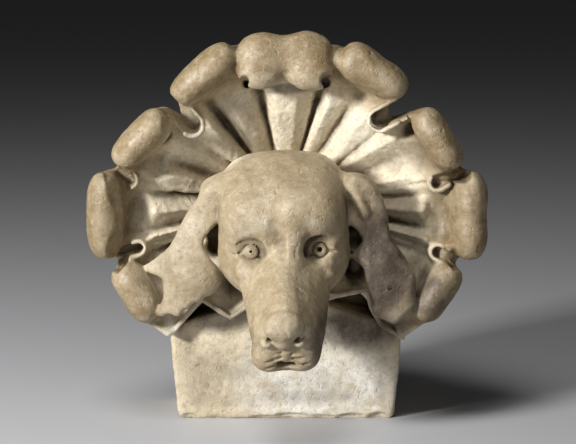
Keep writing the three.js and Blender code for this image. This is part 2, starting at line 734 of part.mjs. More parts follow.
// The point that lies closest to all the planes, if they fix one
function closest(q) {
  const [a, b, c, d, e, f, g, h, i] = q;
  const det = a * (e * h - f * f) - b * (b * h - f * c) + c * (b * f - e * c);
  if (Math.abs(det) < 1e-6 * (a + e + h) ** 3) return null;
  const x = -(d * (e * h - f * f) - b * (g * h - f * i) + c * (g * f - e * i)) / det;
  const y = -(a * (g * h - i * f) - d * (b * h - f * c) + c * (b * i - g * c)) / det;
  const z = -(a * (e * i - g * f) - b * (b * i - g * c) + d * (b * f - e * c)) / det;
  return [x, y, z];
}

function faceNormal(p, a, b, c) {
  const [ux, uy, uz] = [p[3 * b] - p[3 * a], p[3 * b + 1] - p[3 * a + 1], p[3 * b + 2] - p[3 * a + 2]];
  const [vx, vy, vz] = [p[3 * c] - p[3 * a], p[3 * c + 1] - p[3 * a + 1], p[3 * c + 2] - p[3 * a + 2]];
  return [uy * vz - uz * vy, uz * vx - ux * vz, ux * vy - uy * vx];
}

// Thins a closed mesh: the edges whose loss moves the surface least go first.
function thin(positions, faces, wanted) {
  const p = Float64Array.from(positions);
  const f = Int32Array.from(faces);
  const count = p.length / 3;
  const around = Array.from({ length: count }, () => []);
  const terms = Array.from({ length: count }, () => new Float64Array(10));
  const stamp = new Int32Array(count);
  const heap = new Heap();
  let left = f.length / 3;

  for (let t = 0; t < f.length; t += 3) {
    const normal = faceNormal(p, f[t], f[t + 1], f[t + 2]);
    const size = hypot(...normal) || 1;
    const [nx, ny, nz] = normal.map((value) => value / size);
    const offset = -(nx * p[3 * f[t]] + ny * p[3 * f[t] + 1] + nz * p[3 * f[t] + 2]);
    const plane = planeTerms(nx, ny, nz, offset, size);
    for (let k = 0; k < 3; k += 1) {
      around[f[t + k]].push(t);
      plane.forEach((value, i) => {
        terms[f[t + k]][i] += value;
      });
    }
  }

  const neighbours = (a) => {
    const found = new Set();
    around[a].forEach((t) => [0, 1, 2].forEach((k) => found.add(f[t + k])));
    found.delete(a);
    return found;
  };

  const both = new Float64Array(10);
  const offer = (a, b) => {
    for (let i = 0; i < 10; i += 1) both[i] = terms[a][i] + terms[b][i];
    const [ax, ay, az] = [p[3 * a], p[3 * a + 1], p[3 * a + 2]];
    const [bx, by, bz] = [p[3 * b], p[3 * b + 1], p[3 * b + 2]];
    const [mx, my, mz] = [(ax + bx) / 2, (ay + by) / 2, (az + bz) / 2];
    const length = hypot(ax - bx, ay - by, az - bz);
    let place = closest(both);
    if (!place || hypot(place[0] - mx, place[1] - my, place[2] - mz) > length) place = [mx, my, mz];
    const cost = Math.max(spread(both, ...place), 0) + 1e-3 * length * length;
    heap.push({ cost, a, b, place, ages: stamp[a] + stamp[b] });
  };

  const turnsOver = (a, b, place) => around[a].some((t) => {
    const corners = [f[t], f[t + 1], f[t + 2]];
    if (corners.includes(b)) return false;
    const before = faceNormal(p, ...corners);
    const kept = [p[3 * a], p[3 * a + 1], p[3 * a + 2]];
    p.set(place, 3 * a);
    const after = faceNormal(p, ...corners);
    p.set(kept, 3 * a);
    const dot = before[0] * after[0] + before[1] * after[1] + before[2] * after[2];
    return dot < 0.2 * hypot(...before) * hypot(...after) || hypot(...after) < 0.05;
  });

  for (let a = 0; a < count; a += 1) {
    neighbours(a).forEach((b) => {
      if (a < b) offer(a, b);
    });
  }

  while (left > wanted && heap.items.length > 0) {
    const { a, b, place, ages } = heap.pop();
    const fresh = around[a].length > 0 && around[b].length > 0 && ages === stamp[a] + stamp[b];
    if (fresh) {
      const near = neighbours(b);
      const shared = [...neighbours(a)].filter((v) => near.has(v));
      if (shared.length === 2 && !turnsOver(a, b, place) && !turnsOver(b, a, place)) {
        p.set(place, 3 * a);
        terms[a] = terms[a].map((value, i) => value + terms[b][i]);
        const lost = around[b].filter((t) => [0, 1, 2].some((k) => f[t + k] === a));
        around[b].forEach((t) => {
          for (let k = 0; k < 3; k += 1) if (f[t + k] === b) f[t + k] = a;
        });
        around[a] = [...around[a], ...around[b]].filter((t) => !lost.includes(t));
        shared.forEach((v) => {
          around[v] = around[v].filter((t) => !lost.includes(t));
        });
        lost.forEach((t) => f.fill(-1, t, t + 3));
        left -= lost.length;
        around[b] = [];
        stamp[a] += 1e6;
        stamp[b] += 1e6;
        neighbours(a).forEach((v) => offer(a, v));
      }
    }
  }

  const used = new Map();
  const kept = { positions: [], faces: [] };
  f.forEach((v) => {
    if (v < 0) return;
    if (!used.has(v)) {
      used.set(v, used.size);
      kept.positions.push(p[3 * v], p[3 * v + 1], p[3 * v + 2]);
    }
    kept.faces.push(used.get(v));
  });
  return kept;
}

// Solids, to trim the stone's flat faces

const wasm = await Module();
wasm.setup();

function solid(positions, faces) {
  const mesh = new wasm.Mesh({
    numProp: 3,
    vertProperties: Float32Array.from(positions),
    triVerts: Uint32Array.from(faces),
  });
  return new wasm.Manifold(mesh);
}

// Everything in front of the wall plane and above the bed plane
function frontOfWall() {
  const box = new THREE.BoxGeometry(4 * reach, 4 * reach, 4 * reach);
  box.translate(0, -2 * reach, 2 * reach - BLOCK_UNDERSIDE);
  box.deleteAttribute('normal');
  box.deleteAttribute('uv');
  const merged = mergeVertices(box);
  return solid(merged.getAttribute('position').array, merged.getIndex().array);
}

function limestoneGeometry() {
  const { positions, faces } = surface(carve());
  const thinned = thin(positions, faces, FACES);
  const trimmed = solid(thinned.positions, thinned.faces).intersect(frontOfWall());
  const { vertProperties, triVerts } = trimmed.getMesh();
  const geometry = new THREE.BufferGeometry();
  geometry.setAttribute('position', new THREE.BufferAttribute(vertProperties, 3));
  geometry.setIndex(new THREE.BufferAttribute(triVerts, 1));
  geometry.computeVertexNormals();
  return geometry;
}

const corbel = new THREE.Mesh(limestoneGeometry(), limestone);
corbel.name = 'hound_corbel';

const group = new THREE.Group();
group.name = 'corbel';
group.add(corbel);

export default group;
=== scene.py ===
"""Looks of a carved limestone corbel: a hound's head in a ruff of curled leaves.

The stone is one piece. Its forms are added and cut in a field of distances to the surface,
in millimetres, with +Z up, the front facing -Y and the flat back in the plane Y = 0.
"""

import json
import math

import bpy
import numpy as np
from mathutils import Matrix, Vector

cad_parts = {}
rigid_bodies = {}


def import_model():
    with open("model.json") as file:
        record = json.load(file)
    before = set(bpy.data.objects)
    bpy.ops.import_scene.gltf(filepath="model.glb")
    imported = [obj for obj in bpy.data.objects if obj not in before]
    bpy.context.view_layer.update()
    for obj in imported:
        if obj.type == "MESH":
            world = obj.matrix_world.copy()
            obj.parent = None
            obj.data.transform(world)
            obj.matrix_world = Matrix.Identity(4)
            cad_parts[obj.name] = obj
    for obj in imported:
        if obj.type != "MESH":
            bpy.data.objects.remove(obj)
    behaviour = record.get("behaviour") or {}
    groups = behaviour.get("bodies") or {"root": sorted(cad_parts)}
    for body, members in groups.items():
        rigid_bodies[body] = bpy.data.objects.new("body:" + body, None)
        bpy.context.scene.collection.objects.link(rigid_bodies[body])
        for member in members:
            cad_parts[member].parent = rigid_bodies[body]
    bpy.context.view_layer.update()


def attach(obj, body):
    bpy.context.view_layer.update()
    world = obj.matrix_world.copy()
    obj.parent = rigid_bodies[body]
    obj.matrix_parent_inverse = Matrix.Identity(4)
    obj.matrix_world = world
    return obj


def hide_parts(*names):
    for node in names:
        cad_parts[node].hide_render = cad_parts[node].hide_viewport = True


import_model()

bl_info = {
    "name": "Hound's head corbel",
    "version": (1, 0, 0),
    "blender": (4, 5, 0),
    "location": "3D View > Sidebar > Corbel",
    "description": "Carves a limestone corbel with a hound's head in a ruff of curled leaves",
    "category": "Add Mesh",
}

F = np.float32
MM = 0.001

# Value of the field where there is no stone yet
FAR = 60.0

# The eight corners of a cell
CORNERS = [(i, j, k) for i in (0, 1) for j in (0, 1) for k in (0, 1)]

# Small helpers for the field


def smooth_min(a, b, k):
    """The nearer of two surfaces, joined by a fillet about k wide."""
    if k <= 0:
        return np.minimum(a, b)
    h = np.maximum(k - np.abs(a - b), 0) / k
    return np.minimum(a, b) - h * h * k * F(0.25)


def smooth_max(a, b, k):
    return -smooth_min(-a, -b, k)


def hypot(*parts):
    return np.sqrt(sum(p * p for p in parts))


def on_ruff(angle, radius):
    """A point of the ruff from its angle, clockwise from the top, and its distance out."""
    t = math.radians(angle)
    return radius * math.sin(t), radius * math.cos(t)


class Grid:
    """The field on a box of even cells."""

    def __init__(self, low, high, cell):
        self.low = np.array(low, float)
        self.cell = cell
        self.count = np.ceil((np.array(high) - self.low) / cell).astype(int) + 1
        self.axes = [self.low[i] + cell * np.arange(self.count[i]) for i in range(3)]
        self.field = np.full(self.count, FAR, F)

    def visit(self, form, blend, join):
        distance, low, high = form
        pad = blend + 3 * self.cell
        cut, grids = [], []
        for i in range(3):
            a = max(int((low[i] - pad - self.low[i]) / self.cell), 0)
            b = min(int((high[i] + pad - self.low[i]) / self.cell) + 2, self.count[i])
            if b <= a:
                return
            cut.append(slice(a, b))
            shape = [1, 1, 1]
            shape[i] = b - a
            grids.append(self.axes[i][a:b].astype(F).reshape(shape))
        cut = tuple(cut)
        self.field[cut] = join(self.field[cut], distance(*grids).astype(F), F(blend))

    def add(self, form, blend=0.0):
        self.visit(form, blend, smooth_min)

    def cut(self, form, blend=0.0):
        self.visit(form, blend, lambda stone, tool, k: smooth_max(stone, -tool, k))


# General forms. Each is its distance function and the corners of its box.


def rod(a, b, ra, rb=None):
    """A round bar from a to b, its radius going from ra to rb."""
    rb = ra if rb is None else rb
    a, b = np.array(a, float), np.array(b, float)
    ab = b - a
    square = max(float(ab @ ab), 1e-6)

    def distance(x, y, z):
        t = np.clip(((x - a[0]) * ab[0] + (y - a[1]) * ab[1] + (z - a[2]) * ab[2]) / square, 0, 1)
        off = hypot(x - a[0] - t * ab[0], y - a[1] - t * ab[1], z - a[2] - t * ab[2])
        return off - (ra + (rb - ra) * t)

    wide = max(ra, rb)
    return distance, np.minimum(a, b) - wide, np.maximum(a, b) + wide


def egg(centre, radii, axes=None, power=2.0):
    """An egg with its radii along the rows of axes; a power over 2 makes it boxier."""
    c = np.array(centre, float)
    m = np.eye(3) if axes is None else np.array(axes, float)
    r = np.array(radii, float)

    def distance(x, y, z):
        p = [(x - c[0]) * a[0] + (y - c[1]) * a[1] + (z - c[2]) * a[2] for a in m]
        if power > 2:
            size = sum(np.abs(p[i] / r[i]) ** power for i in range(3)) ** (1 / power)
            return (size - 1) * min(r)
        size = hypot(*(p[i] / r[i] for i in range(3)))
        slope = hypot(*(p[i] / r[i] ** 2 for i in range(3)))
        return size * (size - 1) / np.maximum(slope, 1e-5)

    reach = np.sqrt(((m * r[:, None]) ** 2).sum(0)) * (1.25 if power > 2 else 1)
    return distance, c - reach, c + reach


def ring(centre, axis, radius, tube):
    """A round bar of radius tube, bent into a ring about the axis."""
    c, n = np.array(centre, float), np.array(axis, float)
    n = n / np.linalg.norm(n)

    def distance(x, y, z):
        dx, dy, dz = x - c[0], y - c[1], z - c[2]
        h = dx * n[0] + dy * n[1] + dz * n[2]
        q = np.sqrt(np.maximum(dx * dx + dy * dy + dz * dz - h * h, 0))
        return hypot(q - radius, h) - tube

    return distance, c - radius - tube, c + radius + tube


def spline(points, closed=True, steps=5):
    """A smooth line through the points."""
    pts = np.array(points, float)
    n = len(pts)
    line = []
    for i in range(n if closed else n - 1):
        if closed:
            p = [pts[(i + j - 1) % n] for j in range(4)]
        else:
            p = [pts[min(max(i + j - 1, 0), n - 1)] for j in range(4)]
        for s in range(steps):
            t = s / steps
            line.append(0.5 * (2 * p[1] + (p[2] - p[0]) * t
                               + (2 * p[0] - 5 * p[1] + 4 * p[2] - p[3]) * t * t
                               + (3 * p[1] - p[0] - 3 * p[2] + p[3]) * t ** 3))
    if not closed:
        line.append(pts[-1])
    return np.array(line)


def along_across(x, z, cos, sin):
    """The place in the front plane, measured along a heading and across it."""
    return x * cos + z * sin, z * cos - x * sin


def square_to_piece(a, b, x, z):
    """Squared distance in the front plane to the straight piece from a to b."""
    e = b - a
    t = np.clip(((x - a[0]) * e[0] + (z - a[1]) * e[1]) / max(float(e @ e), 1e-9), 0, 1)
    return (x - a[0] - t * e[0]) ** 2 + (z - a[1] - t * e[1]) ** 2


def line_distance(line, x, z):
    """Distance in the front plane to an open line, and the side of it: positive to its right."""
    shape = np.broadcast(x, z).shape
    nearest = np.full(shape, 1e9, F)
    side = np.zeros(shape, F)
    for a, b in zip(line[:-1], line[1:]):
        e, d = b - a, square_to_piece(a, b, x, z)
        closer = d < nearest
        nearest = np.where(closer, d, nearest)
        side = np.where(closer, np.sign((x - a[0]) * e[1] - (z - a[1]) * e[0]), side)
    return np.sqrt(nearest), side


def outline_distance(line, x, z):
    """Signed distance in the front plane to a closed outline, negative inside."""
    shape = np.broadcast(x, z).shape
    nearest = np.full(shape, 1e9, F)
    inside = np.zeros(shape, bool)
    for i, a in enumerate(line):
        b = line[(i + 1) % len(line)]
        e = b - a
        nearest = np.minimum(nearest, square_to_piece(a, b, x, z))
        if a[1] != b[1]:
            inside ^= ((a[1] <= z) != (b[1] <= z)) & (x < e[0] * (z - a[1]) / e[1] + a[0])
    off = np.sqrt(nearest)
    return np.where(inside, -off, off)


# The ruff of leaves

BLOCK_UNDERSIDE = 236.0
BLOCK_WIDTH = 281.0
BLOCK_FOOT_WIDTH = 263.0
BLOCK_DEPTH = 104.0

RUFF_RADIUS = 236.0
RUFF_DEPTH = 164.0
DISH_RADIUS = 150.0

# The leaves' rim: how far out between two leaves, how much farther at a leaf's middle, the
# angle of one leaf, and the last valley before the lowest leaves run out to the shoulders
VALLEY_RADIUS = 184.0
LOBE_REACH = 26.0
LOBE_PITCH = 28.6
SIDE_LOBES = 4
LAST_VALLEY = 106.0
LOW_LEAF_RADIUS = 213.0
SHOULDER_DROP = 131.0
SHOULDER_ANGLE = math.degrees(math.atan2(BLOCK_WIDTH / 2, -SHOULDER_DROP))
SHOULDER_RADIUS = math.hypot(BLOCK_WIDTH / 2, SHOULDER_DROP)

# The leaves' front: its depth at the root and at the rim, and the stretch between them
LEAF_ROOT_DEPTH = 50.0
LEAF_RIM_DEPTH = 120.0
LEAF_ROOT_RADIUS = 50.0
LEAF_RUN = 130.0

# The pleats: the point that they spread from, where they start and reach full height, and
# where their grooves get shallower again
PLEAT_MIDDLE = 20.0
PLEAT_START = 30.0
PLEAT_RUN = 80.0
GROOVE_END = 185.0
GROOVE_RUN = 50.0

# Angle round the ruff, clockwise from the top, and the pleats' height there
PLEATS = np.array([
    (-150, 0), (-124, 0), (-113, 9), (-109, 0), (-106, -17), (-105, -17), (-102.4, 8),
    (-100.5, 13), (-98, -2), (-90.5, 12), (-82, -7), (-79.8, -17), (-79, -17), (-76.5, 7),
    (-73, 13), (-67, -6), (-57, 12), (-51.5, 5), (-47.6, -19), (-46.8, -18), (-44.5, 10),
    (-41.5, 15), (-38.5, 9), (-35.8, -14), (-34.8, -12), (-31.5, 4), (-27, 10), (-22, 6),
    (-16.5, -3), (-12.6, -15), (-11.4, -13), (-9.6, 8), (-5, 14), (5.5, 14.5), (13, 0),
    (15.6, -14), (16.6, -14), (18.8, 8), (22, 13), (27, 6), (31, -6), (33.5, -2), (37, 12),
    (41, 15), (45, 9), (46.6, -9), (47.6, -8), (50, 8), (56, 13), (65, -4), (70, 2),
    (74.5, 13), (77.3, 8), (79.2, -16), (79.9, -16), (82.2, -2), (90, 12), (97, -8),
    (101, 13), (102.8, 6), (105, -17), (105.9, -17), (108.2, 0), (113, 9), (124, 0),
    (150, 0)], float)
PLEAT_SOFTNESS = 1.4


def pleat_height(angle, radius):
    """The pleats' height, with their edges rounded by the same width at any radius."""
    soft = np.degrees(PLEAT_SOFTNESS / np.maximum(radius, DISH_RADIUS / 2))
    rows = PLEATS.T
    return (np.interp(angle - soft, *rows) + 2 * np.interp(angle, *rows)
            + np.interp(angle + soft, *rows)) / 4


def ruff():
    """The dish of pleated leaves, open below between the block's shoulders."""

    def distance(x, y, z):
        over = z - PLEAT_MIDDLE
        radius = hypot(x, over)
        angle = np.degrees(np.arctan2(x, over))
        out = np.clip((radius - LEAF_ROOT_RADIUS) / LEAF_RUN, 0, 1.6)
        growth = np.clip((radius - PLEAT_START) / PLEAT_RUN, 0, 1.1)
        depth = LEAF_ROOT_DEPTH + (LEAF_RIM_DEPTH - LEAF_ROOT_DEPTH) * out ** 1.15
        pleat = pleat_height(angle, radius)
        fading = np.clip((GROOVE_END - radius) / GROOVE_RUN, 0.3, 1)
        depth = depth + np.where(pleat < 0, pleat * fading, pleat) * growth
        radius = hypot(x, z)
        angle = np.degrees(np.arctan2(x, z))
        side = np.abs(angle)
        lobe = np.clip(np.round(angle / LOBE_PITCH), -SIDE_LOBES, SIDE_LOBES)
        off = np.minimum(np.abs(angle / LOBE_PITCH - lobe) * 2, 1)
        low = np.clip((side - LAST_VALLEY) / (SHOULDER_ANGLE - LAST_VALLEY), 0, 1)
        high_rim = VALLEY_RADIUS + LOBE_REACH * (1 - off ** 3)
        low_rim = LOW_LEAF_RADIUS + (SHOULDER_RADIUS - LOW_LEAF_RADIUS) * low
        rim = np.where(side < LAST_VALLEY, high_rim, low_rim)
        out = np.clip(-y / (0.96 * LEAF_RIM_DEPTH), 0, 1) ** 0.8
        wall = (radius - DISH_RADIUS - (rim - DISH_RADIUS) * out) * F(0.85)
        front = (-y - depth) * F(0.55)
        below = np.where(radius > 60, np.radians(side - SHOULDER_ANGLE) * radius, -60)
        return smooth_max(smooth_max(front, wall, 7), below, 4)

    return distance, (-RUFF_RADIUS, -RUFF_DEPTH, -RUFF_RADIUS), (RUFF_RADIUS, 20, RUFF_RADIUS)


# Angle, inset, twist from the tangent, half length, radius, hollow, growth to the far end
TIPS = [
    (-0.4, 0, 0.6, 56, 34, 0.19, 0),
    (-27.6, 7, 13.4, 46, 21.5, 0, 0.05),
    (28.7, 0, -2.4, 44, 23, 0.05, -0.16),
    (-57.4, 14, -12.4, 42, 21, 0, 0.06),
    (58.8, 8, 0.8, 40, 20, 0, 0),
    (-85.3, 0, 4.7, 51, 21.5, 0, 0),
    (85.4, -4, -4.6, 52, 21.5, 0.12, 0),
    (-112.5, 23, 7.5, 38, 22, 0, 0),
    (112.6, 22, -11.4, 38, 21, 0, 0),
]
TIP_HALF_DEPTH = 28.0


def tip(row, inwards=0.0, behind=0.0):
    """A curled leaf tip, or the stub behind it: a fat roll, square across its ends."""
    angle, inset, twist, half, radius, hollow, growth = row
    cx, cz = on_ruff(angle, RUFF_RADIUS - inset - radius - inwards)
    cy = behind + TIP_HALF_DEPTH - RUFF_DEPTH
    cos, sin = math.cos(math.radians(twist - angle)), math.sin(math.radians(twist - angle))

    def distance(x, y, z):
        along, across = along_across(x - cx, z - cz, cos, sin)
        t = along / half
        size = 1 - hollow * np.exp(-(t / 0.3) ** 2) + growth * np.clip(t, -1, 1)
        section = hypot(across / radius, (y - cy) / TIP_HALF_DEPTH) / size
        return ((np.abs(t) ** 3 + section ** 3) ** (1 / 3) - 1) * F(radius * 0.9)

    w = half + 4
    deep = TIP_HALF_DEPTH + 8
    return distance, (cx - w, cy - deep, cz - w), (cx + w, cy + deep, cz + w)


# The sharp lines where a tip's rounded front meets its flat inner wall: the line from end to
# end with the ruff's middle to its left, the depth there, how steeply the wall drops, and
# which tip it shapes
CREASES = [
    ([(-210, 58), (-201, 34), (-195, 17), (-202, -2), (-213, -30)], 156, 1.9, 5),
    ([(-146, 143), (-142, 120), (-148, 100), (-173, 76)], 157, 1.7, 3),
    ([(189, 76), (168, 82), (154, 99), (149, 130)], 155, 1.6, 4),
    ([(211, -27), (202, -9), (197, 14), (194, 33), (189, 51)], 155, 1.2, 6),
]


def crease(points, depth, slope, which):
    """What is cut off a tip on the inner side of its crease."""
    line = spline(points, closed=False)
    low, high = line.min(0), line.max(0)
    own = tip(TIPS[which])[0]

    def distance(x, y, z):
        off, side = line_distance(line, x, z)
        inwards = -off * side
        wall = (-y - depth + slope * inwards) / math.hypot(1, slope)
        near = np.maximum(own(x, y, z) - 9, off - 30)
        return smooth_max(-wall, np.maximum(-inwards - 6, near), 4)

    return distance, (low[0] - 30, -175, low[1] - 12), (high[0] + 30, -95, high[1] + 12)


# Bowls scooped behind the tips: centre x, z and depth, and radii along and across the rim
BOWLS = [
    (-176, 14, 132, 40, 17, 26), (180, 12, 128, 36, 15, 22), (-150, 116, 128, 13, 15, 24),
    (-146, 74, 126, 19, 12, 20), (150, 80, 126, 20, 12, 18), (148, 118, 130, 9, 20, 22),
    (-66, 152, 124, 26, 12, 18), (66, 156, 122, 30, 12, 16), (-152, -50, 128, 26, 13, 20),
    (150, -52, 126, 24, 12, 18),
]


def bowl(x0, z0, depth, along, across, deep):
    """A hollow whose length runs round the ruff."""
    out = np.array([x0, 0, z0]) / math.hypot(x0, z0)
    around = np.array([out[2], 0, -out[0]])
    return egg((x0, -depth, z0), (along, across, deep), (around, out, (0, 1, 0)))


# Angle, distance out, inner radius, turn of the opening, length of its sides, floor's depth
EYES = [
    (-41.6, 166.5, 10, -0.6, 24, 98), (40.3, 171, 10, -18.7, 26, 100),
    (-72.3, 193.7, 6, -18.3, 10, 114), (72.5, 187.5, 6.5, 16.5, 10, 113),
    (-97.2, 177.2, 5.5, 4.8, 18, 110), (98.4, 182.4, 6, -15.6, 9, 110),
]
LIP_DEPTH = 129.0
LIP_HALF = 3.2
LIP_TALL_HALF = 5.5

# Drilled holes: angle, distance out and radius
HOLES = [(-15.3, 185.6, 6), (15.2, 186.6, 8), (125, 171, 9)]

# Narrow pits low in the flutes: from, to and radius
FLUTE_PITS = [
    ((-62, -112, 106), (-50, -84, 92), 5), ((-54, -108, 92), (-52, -80, 90), 4),
    ((66, -112, 130), (50, -92, 92), 4), ((60, -108, 104), (52, -84, 90), 4.5),
]


def eye_frame(row):
    """A pleat eye's middle, the heading of its open side, and its sizes."""
    angle, out, radius, turn, leg, floor = row
    cx, cz = on_ruff(angle, out)
    heading = math.radians(90 - angle + turn)
    return cx, cz, math.cos(heading), math.sin(heading), radius, leg, floor


def lip(row):
    """The thin U-shaped edge round a pleat eye."""
    cx, cz, cos, sin, radius, leg, _ = eye_frame(row)

    def distance(x, y, z):
        t, across = along_across(x - cx, z - cz, cos, sin)
        plane = hypot(np.minimum(t, 0), across) - radius - 0.8 * LIP_HALF
        forward = np.abs(-y - LIP_DEPTH - 0.25 * np.clip(t, -radius, leg))
        ends = np.maximum(t - leg, 0)
        return hypot(plane, np.maximum(forward - LIP_TALL_HALF, 0), ends) - LIP_HALF

    w = radius + leg + 8
    return distance, (cx - w, -LIP_DEPTH - 22, cz - w), (cx + w, 22 - LIP_DEPTH, cz + w)


def channel(row):
    """The hollow inside a pleat eye, wider in front than at its floor."""
    cx, cz, cos, sin, radius, leg, floor = eye_frame(row)

    def distance(x, y, z):
        t, across = along_across(x - cx, z - cz, cos, sin)
        flare = np.clip(0.8 + (-y - floor) / 60, 0.6, 1.1)
        side = hypot(np.maximum(np.maximum(-t, t - leg - 4), 0), across) - radius * flare
        return smooth_max(side, floor + y, 3)

    w = radius + leg + 16
    return distance, (cx - w, -190, cz - w), (cx + w, 5 - floor, cz + w)


def pipe(row):
    """The raised ridge that runs from the neck to a pleat eye."""
    cx, cz, _, _, radius, _, floor = eye_frame(row)
    short = 1 - 3 / math.hypot(cx, cz)
    start = (cx * 0.4, -66, PLEAT_MIDDLE + (cz - PLEAT_MIDDLE) * 0.4)
    return rod(start, (cx * short, -floor, cz * short), 3, radius + 4)


def hole(angle, out, radius):
    """A drilled hole that leans inwards and gets narrower."""
    x, z = on_ruff(angle, out)
    inner_x, inner_z = on_ruff(angle, out - 10)
    return rod((x, -170, z), (inner_x, -92, inner_z), radius * 1.1, radius * 0.6)


# The block and the stone that joins it to the ruff

EDGE_WEAR = 7.0
BLOCK_TOP_DROP = 84.0
BLOCK_TOP_FALL = 0.26


def block():
    """The plain block, narrower at its foot, its top falling to both sides."""
    taper = (BLOCK_WIDTH - BLOCK_FOOT_WIDTH) / 2 / (BLOCK_UNDERSIDE - SHOULDER_DROP)

    def distance(x, y, z):
        half = BLOCK_FOOT_WIDTH / 2 + taper * (z + BLOCK_UNDERSIDE)
        side = smooth_max(np.abs(x) - half, -BLOCK_UNDERSIDE - 1 - z, 10)
        outline = smooth_max(side, z + BLOCK_TOP_DROP + BLOCK_TOP_FALL * np.abs(x), 4)
        return smooth_max(outline, -y - BLOCK_DEPTH, EDGE_WEAR)

    half = BLOCK_WIDTH / 2
    return distance, (-half, -BLOCK_DEPTH, -BLOCK_UNDERSIDE), (half, 20, -60)


def apron():
    """The plain stone behind the collar, from the block up to the ruff."""
    half, bottom = 118.0, SHOULDER_DROP + 20

    def distance(x, y, z):
        outline = np.maximum(np.abs(x) - half, np.maximum(z - 10, -bottom - z))
        return smooth_max(outline, -y - LEAF_ROOT_DEPTH + 6, 3)

    return distance, (-half, -LEAF_ROOT_DEPTH, -bottom), (half, 20, 10)


COLLAR_DEPTH = 152.0
COLLAR_BACK = -20.0
COLLAR_HALF = 2.5
SHELF_REACH = 90.0
SHELF_SET_BACK = 8.0
SHELF_SLOPE = 1.1

# The collar's front edge on both sides of the muzzle, in the front plane
COLLARS = [
    [(-139, -128), (-101, -82), (-66, -104), (-44, -88), (-20, -100)],
    [(30, -84), (55, -78), (97, -71), (101, -92), (113, -114), (140, -132)],
]


def collar_back(x):
    """How far the collar curves back towards the block's shoulders."""
    return 26 * np.clip(2 * np.abs(x) / BLOCK_WIDTH, 0, 1) ** 2


def collar(points):
    """The thin pleated edge of the lowest leaves."""
    line = np.array(points, float)
    low, high = line.min(0), line.max(0)

    def distance(x, y, z):
        off, _ = line_distance(line, x, z)
        front = -y - COLLAR_DEPTH + collar_back(x)
        return smooth_max(smooth_max(off - COLLAR_HALF, front, 2), y - COLLAR_BACK, 2)

    return distance, (low[0] - 6, -COLLAR_DEPTH, low[1] - 6), (
        high[0] + 6, COLLAR_BACK, high[1] + 6)


def shelf(points):
    """The leaf's inside behind the collar, which slopes back as it rises."""
    line = np.array(points, float)
    low, high = line.min(0), line.max(0)

    def distance(x, y, z):
        over = z - np.interp(x, line[:, 0], line[:, 1])
        set_back = collar_back(x) + SHELF_SET_BACK + SHELF_SLOPE * over
        front = (-y - COLLAR_DEPTH + set_back) * F(0.65)
        ends = np.maximum(low[0] - x, x - high[0])
        ends = np.maximum(ends, over - SHELF_REACH)
        return smooth_max(smooth_max(front, -over * F(0.75), 2), ends, 4)

    return distance, (low[0], -COLLAR_DEPTH, low[1]), (high[0], COLLAR_BACK, high[1] + SHELF_REACH)


# The head's own frame: u to the viewer's right, v out of the crown, w out of the nose

TILT = math.radians(30)
ROLL = math.radians(2.4)
SKULL = np.array([-3.0, -135.0, 15.0])
CROWN = np.array([0, -math.sin(TILT), math.cos(TILT)])
NOSE = np.array([0, -math.cos(TILT), -math.sin(TILT)])
LEVEL = np.array([1.0, 0, 0])
RIGHT = LEVEL * math.cos(ROLL) + CROWN * math.sin(ROLL)
UP = CROWN * math.cos(ROLL) - LEVEL * math.sin(ROLL)
HEAD = np.array([RIGHT, UP, NOSE])


def at(u, v, w):
    """A point given in the head's own frame."""
    return SKULL + u * RIGHT + v * UP + w * NOSE


def in_head(x, y, z):
    dx, dy, dz = x - SKULL[0], y - SKULL[1], z - SKULL[2]
    return [dx * a[0] + dy * a[1] + dz * a[2] for a in HEAD]


def head_egg(centre, radii, power=2.0):
    return egg(at(*centre), radii, HEAD, power)


def head_rod(a, b, ra, rb=None):
    return rod(at(*a), at(*b), ra, rb)


# Half the muzzle's width, its top and its foot, at these distances along it
MUZZLE_AT = (30, 60, 90, 120, 150, 180, 200)
MUZZLE_WIDTH = (61, 59, 52.5, 48, 44, 40.5, 38)
MUZZLE_TOP = (16, 14, 12, 10, 9, 6, 2)
MUZZLE_FOOT = (-55, -60, -66, -71, -76, -78, -77)
NOSE_END = 192.0
MUZZLE_SHIFT = 3.5


def muzzle():
    """The muzzle: flat-cheeked, narrower above and below, cut off before the nose."""

    def distance(x, y, z):
        u, v, w = in_head(x, y, z)
        u = u - MUZZLE_SHIFT * np.clip((w - 50) / 90, 0, 1)
        top = np.interp(w, MUZZLE_AT, MUZZLE_TOP)
        foot = np.interp(w, MUZZLE_AT, MUZZLE_FOOT)
        middle, half = (top + foot) / 2, (top - foot) / 2
        k = np.clip((v - middle) / half, -1.2, 1.2)
        narrow = np.where(k > 0, 0.24 * k + 0.26 * k * k, 0.22 * k * k)
        wide = np.interp(w, MUZZLE_AT, MUZZLE_WIDTH) * (1 - narrow)
        size = (np.abs(u / wide) ** 2.3 + np.abs((v - middle) / half) ** 2.3) ** (1 / 2.3)
        body = (size - 1) * np.minimum(wide, half) * F(0.9)
        end = w - NOSE_END + 0.1 * (v + 30)
        return smooth_max(smooth_max(body, end, 26), 40 - w, 10)

    a, b = at(0, 0, 30), at(0, -70, NOSE_END)
    return distance, np.minimum(a, b) - 70, np.maximum(a, b) + 70


